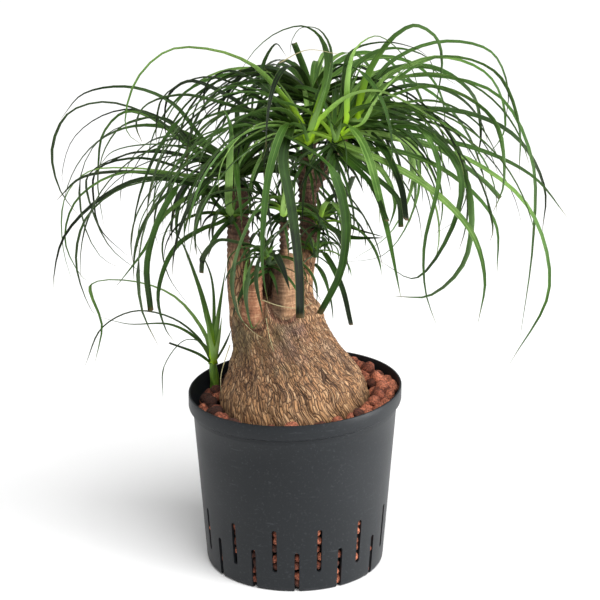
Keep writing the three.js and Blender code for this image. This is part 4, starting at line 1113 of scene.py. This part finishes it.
def bark_finish(bark):
    """Cork: tan plates each of its own shade, dark furrows, fibres along the grain, moss and pale stumps.
    Painted shade darkens the back stump, the ringed stems under the crown and the left side of the pale
    stump.
    """
    finish = Finish("cork_bark")
    place = finish.place()
    labels = ("furrow", "plate", "ringed", "stump", "front_stump", "foot", "behind")
    furrow, plate, ringed, stump, front_stump, foot, behind = (finish.mark(label) for label in labels)
    woven = finish.mark("weave", "Vector")
    across, height = finish.axis(place, "X"), finish.axis(place, "Z")
    fibres = finish.noise(place, (520, 520, 150), 5, 0.68)
    flecks = finish.noise(place, (240, 240, 80), 3, 0.6)
    bands = finish.noise(place, (45, 45, 520), 3, 0.6)
    cloud = finish.noise(place, 24, 3, 0.55)
    number = finish.cells(woven, 1.0, output="Color")
    gap = finish.cells(woven, 1.0, "DISTANCE_TO_EDGE")

    shade = (plate * 0.15 + number * 0.38 + fibres * 0.4 + 0.03).step(0.1, 0.95)
    pale_cork = ((0.8, srgb(204, 168, 130)), (1.0, srgb(234, 206, 170)))
    cork = finish.ramp(shade, (0.0, srgb(92, 64, 44)), (0.45, bark.plate), *pale_cork)
    low = height.step(0.215, 0.175)
    moss = finish.noise(place, (34, 34, 22), 3, 0.6).step(0.38, 0.62)
    moss = moss * height.step(0.205, 0.235) * height.step(0.30, 0.265) * across.step(0.012, -0.018)
    lilac = cloud.step(0.40, 0.6) * height.step(0.225, 0.24) * height.step(0.275, 0.262)
    lilac = lilac * across.step(-0.03, -0.012) * across.step(0.022, 0.006)

    skin = (fibres * 0.5 + bands * 0.6 + flecks * 0.3 - 0.2).step(0.25, 0.8)
    salmon, pale, ringed_brown_and_painted_shade = (
        finish.ramp(skin, (0.0, srgb(*deep)), (middle, srgb(*half)), (1.0, srgb(*light)))
        for deep, middle, half, light in (
            ((92, 56, 38), 0.5, (158, 108, 78), (196, 160, 124)),
            ((104, 74, 52), 0.5, (158, 120, 88), (208, 172, 136)),
            # the ringed stems' own brown, darkened as painted shade under the crown
            ((40, 27, 21), 0.6, (104, 74, 56), (150, 118, 92)),
        )
    )
    # painted shade: the pale stump turns darker on its left side
    shaded = finish.ramp(skin, (0.0, srgb(46, 33, 25)), (1.0, srgb(118, 88, 62)))
    pale = finish.blend(pale, (across.step(-0.006, -0.017), shaded))

    rough_part = (1 - stump) * (1 - ringed * 0.6)
    lines = gap.step(0.1, 0.01) * rough_part
    mounds = gap.step(0.0, 0.3) * rough_part
    along = finish.noise(woven, (0.42, 0.42, 0.06), 2, 0.5)
    split = along.step(0.46, 0.5) * along.step(0.54, 0.5) * (1 - stump) * (1 - ringed)
    split = split * height.step(0.27, 0.22)
    dark = (furrow * 0.25 + (0.5 - flecks) * 0.35 + lines * 0.9 + split * 0.9).step(0.22, 0.95)
    base = finish.blend(
        cork,
        (low * 0.42, srgb(208, 162, 112)),
        (cloud.step(0.52, 0.75) * 0.42, srgb(128, 110, 96)),
        (moss * 0.5, srgb(104, 106, 68)),
        (lilac * 0.45, srgb(112, 92, 98)),
        (stump, pale),
        (front_stump, salmon),
        (foot * 0.6, srgb(112, 58, 46)),
        # the ringed stems: their own brown with painted shade
        (ringed, ringed_brown_and_painted_shade),
        # painted shade: the back stump nearly black
        (behind * 0.8, srgb(38, 27, 20)),
        (dark * (0.9 - low * 0.24), bark.furrow),
    )
    grain = finish.bump(fibres, 0.0008, 0.6)
    chips = finish.bump(flecks * 0.35 + mounds * 1.2 - lines * 0.5 - split * 1.4, 0.0014, 0.9, grain)
    return finish.close(Base_Color=base, Roughness=0.86 + fibres * 0.1, Normal=chips)


def make_trunk(bark):
    """Spins one even mesh over base and stems, smooths it, and raises the bark from it along its normals."""
    start, points, faces = 0, [], []
    for rings in trunk_skins():
        faces += [block + start for block in skin_faces(1, *rings.shape[:2])]
        points.append(rings.reshape(-1, 3))
        start += len(points[-1])
    trunk = add_piece("barked_trunk", np.concatenate(points), faces, None, "bark", ["trunk"])
    remesh = trunk.modifiers.new("spin", "REMESH")
    remesh.mode = "VOXEL"
    remesh.voxel_size = bark.grain
    even = trunk.modifiers.new("even", "SMOOTH")
    even.iterations = SPIN_EVENING
    apply_modifiers(trunk)
    mesh = trunk.data
    points = read_vectors(mesh.vertices, "co") / MM
    relief, marks = bark_relief(points, *in_millimetres(bark, "wave_depth", "plate_depth"))
    points += read_vectors(mesh.vertex_normals, "vector") * relief[:, None]
    mesh.vertices.foreach_set("co", (points * MM).ravel())
    add_marks(mesh, marks)
    mesh.materials.clear()
    mesh.materials.append(bark_finish(bark))
    mesh.shade_smooth()
    mesh.update()


# ---- Leaves ----

TURN_TO_FRONT = 0.6  # how far each leaf's face is turned from level towards the front
GOLDEN_TURN = math.pi * (3 - math.sqrt(5))
BEND_STEP = 9  # millimetres in depth that a traced leaf moves at each try to clear the trunk
BEND_TRIES = 11
FRESH_LEAD = 8  # millimetres by which a fresh leaf starts before its head, clear of the older ones
TURN_STEP = 0.13  # radians that a ruled leaf turns at each try
TURN_TRIES = 9
TURNING = 30  # millimetres of leaf that a turn of one radian counts as
SEEN_BREADTH = 1.42  # a traced leaf's true width, turned as it is, to the width that shows
RULED_BREADTH = 1.22  # the same for a ruled leaf, to the width in its head's row
INNER_SHARE = 0.68  # length of the leaves that fill a head, to that of its outer ones
# Leaves placed by rules. A ruled leaf ends so many degrees below level, bends by a power of the share gone
# and drifts sideways. Leaves of a heart or a skirt have seeds for their draws, a scatter of their turn,
# degrees up at root and tip, a length, how many heights of the core they start under the head, and the bend's
# power.
RULED = {"fall": (70, 112), "arch": (0.65, 1.15), "drift": 0.9}
HEART = {"seeds": (499, 3571), "turn": 1.1, "rise": (62, 88), "end": (20, 70), "length": (0.3, 0.75),
         "sunk": (0, 0), "arch": 1}
SKIRT = {"seeds": (773, 6007), "turn": 1, "rise": (-30, 35), "end": (-95, -60), "length": (25, 75),
         "sunk": (0.2, 1.9), "arch": 0.7}
SKIRT_WIDTH = (2.5, 5.5)
HEART_COUNT = {"head": 9, "shoot": 5}
SHOOT_CORE = 8  # half-width over which a core belongs to a full head
MARGIN = 3  # millimetres kept between a leaf and the trunk or the sides of the plain model's box
STEM_MARGIN = 1.15  # least distance from a stem's middle, in radii
RIM_CLEARANCE = 116  # radius that leaves keep outside of, up to the height POT_TOP
POT_TOP = 198
TAPER = {"old": 2.3, "young": 1.2, "cut": 0.3}  # powers of the narrowing, and the share that a cut end loses
BLADE_THICKNESS = 0.55
LEAF_CORNERS = 4
BUD_GRID = (14, 24)  # rows and columns of a head's core, and below of the offset's stem and of a thread
OFFSET_GRID = (40, 32)
THREAD_GRID = (16, 6)


def from_photo(pixel, depth):
    """The point at a depth behind the pot's axis that the photograph shows at a pixel."""
    across = (pixel[0] - FRAME_MIDDLE) / FOCAL_PIXELS
    up = (FRAME_MIDDLE - pixel[1]) / FOCAL_PIXELS
    ray = np.array([across, up * PITCH_SINE + PITCH_COSINE, up * PITCH_COSINE - PITCH_SINE])
    return CAMERA_PLACE + ray * (depth - CAMERA_PLACE[1]) / ray[1]


def to_photo(places):
    """The pixels at which the photograph shows some places, (count, 2)."""
    offset = places - CAMERA_PLACE
    ahead = offset[:, 1] * PITCH_COSINE - offset[:, 2] * PITCH_SINE
    up = offset[:, 1] * PITCH_SINE + offset[:, 2] * PITCH_COSINE
    return FRAME_MIDDLE + FOCAL_PIXELS * np.stack([offset[:, 0] / ahead, -up / ahead], axis=1)


def hides_window(line, head):
    """Whether a leaf hangs before one of the windows, nearer to the front than its head by a core's width."""
    shown = to_photo(line[line[:, 1] < head["at"][1] - head["core"][0]])
    left, top, right, bottom = np.array(WINDOWS).T[:, :, None]
    x, y = shown.T
    return bool(((x > left) & (x < right) & (y > top) & (y < bottom)).any())


def leaves_crown(line):
    """Whether a leaf shows outside the crown's outline. Inside, an odd number of sides lies to the right."""
    x, y = to_photo(line).T[:, :, None]
    x1, y1 = CROWN.T
    x2, y2 = np.roll(CROWN, -1, axis=0).T
    level = (y1 > y) != (y2 > y)
    crossing = np.where(level, x1 + (y - y1) * (x2 - x1) / np.where(level, y2 - y1, 1), -1)
    return bool((((crossing > x) & level).sum(axis=1) % 2 == 0).any())


def seen_line(head, leaf, bend, rows):
    """The middle of a leaf seen in the photograph, whose depth changes evenly from its head to its tip."""
    pixels = np.array(leaf["pixels"], float)
    gone = np.concatenate([[0], np.cumsum(np.linalg.norm(np.diff(pixels, axis=0), axis=1))])
    near = head["at"][1] - FRESH_LEAD * leaf["fresh"]
    depths = near + (leaf["tip"] + bend) * (0.06 + 0.94 * gone / gone[-1])
    places = [from_photo(pixel, depth) for pixel, depth in zip(pixels, depths)]
    return smooth_line([head["at"], *places], rows, TURNING)


def arched(start, azimuth, ends, whole, arch=1.0, drift=0.0, steps=8):
    """Places at even steps along a leaf: its pitch changes as share^arch, and it turns by drift * share^2."""
    share = (np.arange(steps) + 0.5) / steps
    pitch = ends[0] + (ends[1] - ends[0]) * share**arch
    turn = azimuth + drift * share**2
    ways = np.stack([np.cos(pitch) * np.cos(turn), np.cos(pitch) * np.sin(turn), np.sin(pitch)], axis=1)
    return np.vstack([[0, 0, 0], np.cumsum(ways, axis=0) * whole / steps]) + start


def ruled_line(head, index, bend, rows):
    """The middle and width of a leaf placed by a rule: it rises, falls, and drifts to one side."""
    random = random_stream(head["seed"] * 1009 + index * 7919)
    azimuth = index * GOLDEN_TURN + 0.7 * (next(random) - 0.5) + bend
    rise = math.radians(between(head["rise"], next(random)))
    fall = -math.radians(between(RULED["fall"], next(random)))
    whole = between(head["length"], next(random)) * (1 if index < head["count"] else INNER_SHARE)
    width = between(head["width"], next(random))
    arch = between(RULED["arch"], next(random))
    drift = RULED["drift"] * (next(random) - 0.5)
    places = arched(head["at"], azimuth, (rise, fall), whole, arch, drift, 12)
    return smooth_line(places, rows, TURNING), width


def short_line(head, index, kind, whole, rows):
    """The middle of a short leaf: a new one in the head's heart, or an old one in the skirt under it."""
    random = random_stream(head["seed"] * kind["seeds"][0] + index * kind["seeds"][1])
    azimuth = index * GOLDEN_TURN + kind["turn"] * next(random)
    ends = [math.radians(between(kind[label], next(random))) for label in ("rise", "end")]
    reach = whole * between(kind["length"], next(random))
    start = head["at"] - np.array([0, 0, head["core"][1] * between(kind["sunk"], next(random))])
    return smooth_line(arched(start, azimuth, ends, reach, kind["arch"]), rows)


def is_clear(line, head):
    """Whether a leaf keeps inside the plain model's box, above the pot's rim and out of trunk and stems."""
    low, high = np.array(CAD_BOX) / MM
    if (line < low + MARGIN).any() or (line > high - MARGIN).any():
        return False
    out = line[2 + np.argmax(np.linalg.norm(line - head["at"], axis=1) > head["core"][0] + 4):]
    x, y, z = out.T
    middle_x, middle_y, half_x, half_y = section_at(z)
    in_base = np.hypot((x - middle_x) / (half_x + MARGIN), (y - middle_y) / (half_y + MARGIN)) < 1
    in_base &= z < TRUNK_SECTIONS[-1, 0]
    in_pot = (np.hypot(x, y) < RIM_CLEARANCE) & (z < POT_TOP)
    return not (in_base | in_pot).any() and bool((nearest_stem(out)[0] > STEM_MARGIN).all())


def sweep(step, tries):
    """Zero, then steps to either side in turn, further each time."""
    return [(1 if i % 2 else -1) * math.ceil(i / 2) * step for i in range(tries)]


def head_leaves(name, leaves):
    """Lines, widths, cuts, youth and tones of a head's leaves: traced, ruled, in its heart and its skirt."""
    head = HEADS[name]
    rows = leaves.rows
    found = []

    def keep(tries, width, cut, young, tone=np.nan, ruled=False):
        for line in tries:
            if is_clear(line, head) and not (ruled and (hides_window(line, head) or leaves_crown(line))):
                found.append((line, width, cut, young, tone))
                return

    for leaf in SEEN_LEAVES[name]:
        tries = (seen_line(head, leaf, bend, rows) for bend in sweep(BEND_STEP, BEND_TRIES))
        young = max(0.3 * head["young"], leaf["fresh"])
        keep(tries, leaf["width"] * SEEN_BREADTH, leaf["cut"], young, leaf["tone"])
    for index in range(round(head["count"] * leaves.fullness)):
        width = ruled_line(head, index, 0, 3)[1] * RULED_BREADTH
        tries = (ruled_line(head, index, bend, rows)[0] for bend in sweep(TURN_STEP, TURN_TRIES))
        keep(tries, width, 0, head["young"], ruled=True)
    for index in range(HEART_COUNT["head"] if head["core"][0] > SHOOT_CORE else HEART_COUNT["shoot"]):
        line = short_line(head, index, HEART, head["length"][0], rows)
        keep([line], between(head["width"], 0.8 + 0.04 * index), 0, 1, ruled=True)
    for index in range(head["skirt"]):
        line = short_line(head, index, SKIRT, 1, rows)
        width = between(SKIRT_WIDTH, index * 0.618 % 1)
        keep([line], width, 0, 0, 0.05 + 0.3 * (index * 0.414 % 1))
    return [np.array(column, float) for column in zip(*found)]


def strap_leaves(lines, widths, cuts, young, fold, twist):
    """Strap leaves as closed skins of four corners to a ring: two sharp edges, the channel and the keel.

    The edges lie half a width to either side and stand over the channel by about fold times that half, more
    at the base. The width flares where the leaf clasps its head. It narrows along the leaf as 1 - share^2.3,
    sooner on a new leaf, or by three tenths to a cut end.
    """
    count, rows = lines.shape[:2]
    ahead = ways_ahead(lines)
    level = np.stack([-ahead[..., 1], ahead[..., 0], np.zeros((count, rows))], axis=-1)
    shown = np.cross([0.0, -1.0, 0.0], ahead)
    across = np.empty_like(ahead)
    guide = level[:, 0]
    for row in range(rows):
        turns = [np.where((way[:, row] * guide).sum(axis=1, keepdims=True) < 0, -1, 1) * way[:, row]
                 for way in (level, shown)]
        guide = turns[0] + TURN_TO_FRONT * turns[1]
        guide = unit(guide - (guide * ahead[:, row]).sum(axis=1, keepdims=True) * ahead[:, row])
        across[:, row] = guide
    share = length_shares(lines)[..., None]
    face = np.cross(ahead, across)
    roll = twist[:, None, None] * share**1.5
    across, face = np.cos(roll) * across + np.sin(roll) * face, np.cos(roll) * face - np.sin(roll) * across

    widths, cuts, young = (values[:, None, None] for values in (widths, cuts, young))
    power = np.where(young > 0.9, TAPER["young"], TAPER["old"])
    taper = np.where(cuts > 0, 1 - TAPER["cut"] * share, 1 - 0.97 * share**power)
    clasp = 1 + 0.45 * (1 - ease(share, 0, 0.09)) - 0.22 * (1 - ease(share, 0.05, 0.3))
    half = widths * taper * clasp / 2
    depth = fold * (1.9 - 1.2 * ease(share, 0, 0.25)) * half
    thickness = BLADE_THICKNESS * np.sqrt(np.minimum(half / 2.5, 1))
    over, under = face * depth * 0.6, face * depth * 0.4
    corners = [across * half + over, -under, -across * half + over, -under - face * thickness]
    return lines[:, :, None] + np.stack(corners, axis=2)


def leaf_finish(leaves):
    """Strap leaves: each its own green, with veins, bright clasping bases and dry cut ends, and painted
    highlights: a pale stripe down the middle of the fold and pale edges.
    """
    finish = Finish("strap_leaf")
    map_place = finish.node("ShaderNodeUVMap")
    across, along = finish.axis(map_place, "X"), finish.axis(map_place, "Y")
    tone, young, cut = (finish.mark(label) for label in ("tone", "young", "cut"))
    streak_place = finish.node("ShaderNodeCombineXYZ", None, {0: across * 46, 1: along * 2.2, 2: tone * 37})
    veins = finish.noise(streak_place, 1.0, 2, 0.6)
    mottle = finish.noise(finish.place(), 36, 3, 0.6)
    upper = across.step(0.5, 0.495)
    # painted highlight: a pale stripe down the middle of the fold, where it catches the light
    painted_midrib_light = across.step(0.19, 0.25) * across.step(0.31, 0.25)
    shade = tone * 0.74 + mottle * 0.34 + (veins - 0.5) * 0.5 + young * 0.12 + painted_midrib_light * 0.10 - 0.05
    shade = shade - along.step(0.35, 0.95) * 0.2
    from_middle = finish.node("ShaderNodeMath", {"operation": "PINGPONG"}, {0: across, 1: 0.25})
    base = finish.blend(
        finish.ramp(shade, (0.08, leaves.dark), (0.5, leaves.middle), (0.92, leaves.light)),
        ((1 - upper) * 0.12, srgb(112, 142, 86)),
        # painted highlight: pale strips along the leaf's edges
        (from_middle.step(0.045, 0.0) * 0.26, srgb(146, 172, 104)),
        (young**2 * along.step(0.5, 0.1) * 0.6, srgb(116, 166, 52)),
        (young**1.5 * along.step(0.3, 0.04) * 0.9, leaves.young),
        (cut * along.step(0.975, 0.995) * 0.6, srgb(94, 76, 46)),
        ((1 - cut) * along.step(0.93, 1.0) * 0.4, srgb(134, 112, 62)),
    )
    ribs = finish.bump(veins, 0.0004, 0.7)
    rough = 0.34 + veins * 0.2
    return finish.close(Base_Color=base, Roughness=rough, Specular_IOR_Level=0.17, Normal=ribs)


def mark_sharp_columns(mesh, columns, sharp):
    """Marks the edges that run along the skins at the sharp columns, so that shading breaks there."""
    ends = np.empty(len(mesh.edges) * 2, int)
    mesh.edges.foreach_get("vertices", ends)
    column = ends.reshape(-1, 2) % columns
    marks = (column[:, 0] == column[:, 1]) & np.isin(column[:, 0], sharp)
    layer = mesh.attributes.new("sharp_edge", "BOOLEAN", "EDGE")
    layer.data.foreach_set("value", marks)


def core_bud(head):
    """The stub that a head's leaves clasp: a tube from the nearest stem's middle out to the head and up."""
    wide, high = head["core"]
    samples = np.concatenate(stem_lines(10, OFFSET_STEM))
    foot = samples[np.linalg.norm(samples[:, :3] - head["at"], axis=1).argmin()]
    places = [[*foot[:3], 0.45 * wide]]
    for up, radius in ((-0.5, 0.48), (0.2, 0.42), (0.95, 0.12)):
        places.append([*(np.array(head["at"]) + [0, 0, up * high]), radius * wide])
    line = smooth_line(places, BUD_GRID[0])
    return round_tube(line[:, :3], line[:, 3], BUD_GRID[1])


def make_head(name, leaves, finish):
    """One head or shoot: all its leaves and its core in one piece, in place of the plain head."""
    lines, widths, cuts, young, chosen = head_leaves(name, leaves)
    random = np.random.default_rng(HEADS[name]["seed"])
    count, rows = lines.shape[:2]
    twist = random.uniform(-leaves.twist, leaves.twist, count)
    points = strap_leaves(lines, widths, cuts, young, leaves.fold, twist)
    drawn = np.clip(random.normal(HEADS[name]["tone"], 0.28, count), 0, 1)
    tone = np.where(np.isnan(chosen), drawn, chosen)
    bud = core_bud(HEADS[name])
    bud_faces = [block + count * rows * LEAF_CORNERS for block in skin_faces(1, *bud.shape[:2])]
    bud_shares = np.linspace(0.1, 0.3, bud.shape[0])[None]
    bud_map = skin_map(bud_shares, bud.shape[1])
    bud_marks = np.zeros(bud.shape[0] * bud.shape[1])
    marks = {
        label: np.concatenate([np.repeat(values, rows * LEAF_CORNERS), bud_marks])
        for label, values in (("tone", tone), ("young", young), ("cut", cuts))
    }
    piece = add_piece(
        name + "_leaves",
        np.concatenate([points.reshape(-1, 3), bud.reshape(-1, 3)]),
        skin_faces(count, rows, LEAF_CORNERS) + bud_faces,
        finish, SLOTS[name], [name],
        np.concatenate([skin_map(length_shares(lines), LEAF_CORNERS), bud_map]),
        **marks,
    )
    mark_sharp_columns(piece.data, LEAF_CORNERS, (0, 2))


def sheath_finish():
    """The offset's wrapped stem: pale green with darker streaks along it."""
    finish = Finish("green_sheath")
    streaks = finish.noise(finish.place(), (900, 900, 60), 3, 0.6)
    stops = ((0.3, srgb(48, 78, 24)), (0.55, srgb(104, 146, 42)), (0.8, srgb(150, 180, 70)))
    base = finish.ramp(streaks, *stops)
    folds = finish.bump(streaks, 0.0008, 0.6)
    return finish.close(Base_Color=base, Roughness=0.5 + streaks * 0.1, Normal=folds)


def make_offset_stem():
    """The young plant's short stem, a tube folded into wraps: radius * (1 + a sine of turn and height)."""
    rows, columns = OFFSET_GRID
    line = smooth_line(OFFSET_STEM, rows)
    rings = round_tube(line[:, :3], line[:, 3], columns)
    ripple = 1 + 0.09 * np.sin(3 * even_turns(columns)[None] + line[:, 2:3] / 4)
    rings = line[:, None, :3] + (rings - line[:, None, :3]) * ripple[..., None]
    add_piece("offset_stem", rings, skin_faces(1, rows, columns), sheath_finish(), "young_leaf")


def make_threads():
    """Dry threads of old leaf: thin tubes along lines traced at one depth each."""
    finish = Finish("dry_thread")
    shade = finish.noise(finish.place(), 150, 2)
    base = finish.ramp(shade, (0.3, srgb(128, 120, 84)), (0.7, srgb(178, 168, 126)))
    dry = finish.close(Base_Color=base, Roughness=0.8 + shade * 0.1)
    rows, columns = THREAD_GRID
    radii = 0.55 - 0.3 * np.linspace(0, 1, rows)
    tubes = []
    for depth, pixels in THREADS:
        line = smooth_line([from_photo(pixel, depth) for pixel in pixels], rows)
        tubes.append(round_tube(line, radii, columns))
    add_piece("dry_threads", np.array(tubes), skin_faces(len(tubes), rows, columns), dry, "leaf")


# ---- Stage ----

# Each square lamp's place and side, in metres.
LAMPS = {"key": ((1.9, -0.9, 0.9), 1.2), "low": ((1.5, -0.35, 0.2), 0.5), "fill": ((-1.9, -0.3, 0.8), 0.8)}
LAMP_AIM = (0, 0, 0.3)
SUN_WIDTH = math.radians(50)
SUN_TILT = (math.radians(28), math.radians(14), 0)


def make_stage(stage):
    """A plain pale floor, an even white surround, soft lamps right and left, a broad sun, and the camera."""
    scene = bpy.context.scene
    scene.view_settings.view_transform = "Standard"
    world = bpy.data.worlds.new("studio")
    world.use_nodes = True
    background = world.node_tree.nodes["Background"]
    background.inputs["Color"].default_value = (1, 1, 1, 1)
    background.inputs["Strength"].default_value = stage.sky
    scene.world = world
    for label, (place, side) in LAMPS.items():
        lamp = bpy.data.lights.new(label + "_lamp", "AREA")
        lamp.energy = getattr(stage, label)
        lamp.size = side
        aim = Vector(LAMP_AIM) - Vector(place)
        add_to_scene(label + "_lamp", lamp, place, aim.to_track_quat("-Z", "Y").to_euler())
    sun = bpy.data.lights.new("sun", "SUN")
    sun.energy = stage.sun
    sun.angle = SUN_WIDTH
    add_to_scene("sun", sun, turn=SUN_TILT)

    half = stage.floor_width / 2
    mesh = bpy.data.meshes.new("floor")
    corners = [(-half, -half, 0), (half, -half, 0), (half, half, 0), (-half, half, 0)]
    mesh.from_pydata(corners, [], [(0, 1, 2, 3)])
    mesh.materials.append(Finish("floor_paint").close(Base_Color=(*stage.floor, 1), Roughness=0.9))
    floor = add_to_scene("floor", mesh)

    camera = bpy.data.cameras.new("camera")
    camera.sensor_width = SENSOR_WIDTH
    camera.lens = FOCAL_PIXELS / FRAME_SIDE * SENSOR_WIDTH
    pitch = (math.pi / 2 - CAMERA_PITCH, 0, 0)
    scene.camera = add_to_scene("camera", camera, (CAMERA_PLACE * MM).tolist(), pitch)


def add_to_scene(name, data, place=(0, 0, 0), turn=(0, 0, 0)):
    """An object of some data, put at a place and turned."""
    made = bpy.data.objects.new(name, data)
    made.location = place
    made.rotation_euler = turn
    bpy.context.scene.collection.objects.link(made)
    return made


# ---- Add-on ----


class PALM_OT_stage(bpy.types.Operator):
    """Makes the floor, the lights and the camera"""

    bl_idname = "palm.stage"
    bl_label = "Stage"

    def execute(self, context):
        make_stage(context.scene.palm_stage)
        return {"FINISHED"}


class PALM_OT_pot(bpy.types.Operator):
    """Turns the pot and cuts its slots"""

    bl_idname = "palm.pot"
    bl_label = "Slotted pot"

    def execute(self, context):
        make_pot(context.scene.palm_pot)
        return {"FINISHED"}


class PALM_OT_granules(bpy.types.Operator):
    """Fills the pot with clay granules"""

    bl_idname = "palm.granules"
    bl_label = "Clay granules"

    def execute(self, context):
        make_granules(context.scene.palm_granules, context.scene.palm_pot)
        return {"FINISHED"}


class PALM_OT_trunk(bpy.types.Operator):
    """Makes the swollen trunk and its stems, under their bark"""

    bl_idname = "palm.trunk"
    bl_label = "Barked trunk"

    def execute(self, context):
        make_trunk(context.scene.palm_bark)
        return {"FINISHED"}


class PALM_OT_heads(bpy.types.Operator):
    """Makes every head and shoot of leaves"""

    bl_idname = "palm.heads"
    bl_label = "Leaf heads"

    def execute(self, context):
        leaves = context.scene.palm_leaves
        finish = leaf_finish(leaves)
        for name in HEADS:
            make_head(name, leaves, finish)
        return {"FINISHED"}


class PALM_OT_offset_stem(bpy.types.Operator):
    """Makes the young offset's stem"""

    bl_idname = "palm.offset_stem"
    bl_label = "Offset's stem"

    def execute(self, context):
        make_offset_stem()
        return {"FINISHED"}


class PALM_OT_threads(bpy.types.Operator):
    """Hangs the dry threads about the trunk"""

    bl_idname = "palm.threads"
    bl_label = "Dry threads"

    def execute(self, context):
        make_threads()
        return {"FINISHED"}


OPERATORS = (
    PALM_OT_stage, PALM_OT_pot, PALM_OT_granules, PALM_OT_trunk, PALM_OT_heads, PALM_OT_offset_stem,
    PALM_OT_threads,
)
SETTINGS = {
    "palm_stage": StageSettings,
    "palm_pot": PotSettings,
    "palm_granules": GranuleSettings,
    "palm_bark": BarkSettings,
    "palm_leaves": LeafSettings,
}


class PALM_PT_parts(bpy.types.Panel):
    """Lists the plant's settings and the operators that make its parts"""

    bl_idname = "PALM_PT_parts"
    bl_label = "Ponytail palm"
    bl_space_type = "VIEW_3D"
    bl_region_type = "UI"
    bl_category = "Palm"

    def draw(self, context):
        for label, settings in SETTINGS.items():
            box = self.layout.box()
            for name in settings.__annotations__:
                box.prop(getattr(context.scene, label), name)
        for operator in OPERATORS:
            self.layout.operator(operator.bl_idname)


def register():
    for settings in SETTINGS.values():
        bpy.utils.register_class(settings)
    for label, settings in SETTINGS.items():
        setattr(bpy.types.Scene, label, bpy.props.PointerProperty(type=settings))
    for shown in (*OPERATORS, PALM_PT_parts):
        bpy.utils.register_class(shown)


def unregister():
    for shown in (PALM_PT_parts, *reversed(OPERATORS)):
        bpy.utils.unregister_class(shown)
    for label, settings in SETTINGS.items():
        delattr(bpy.types.Scene, label)
        bpy.utils.unregister_class(settings)


def main():
    register()
    bpy.ops.palm.stage()
    bpy.ops.palm.pot()
    bpy.ops.palm.granules()
    bpy.ops.palm.trunk()
    bpy.ops.palm.heads()
    bpy.ops.palm.offset_stem()
    bpy.ops.palm.threads()


if __name__ == "__main__":
    main()
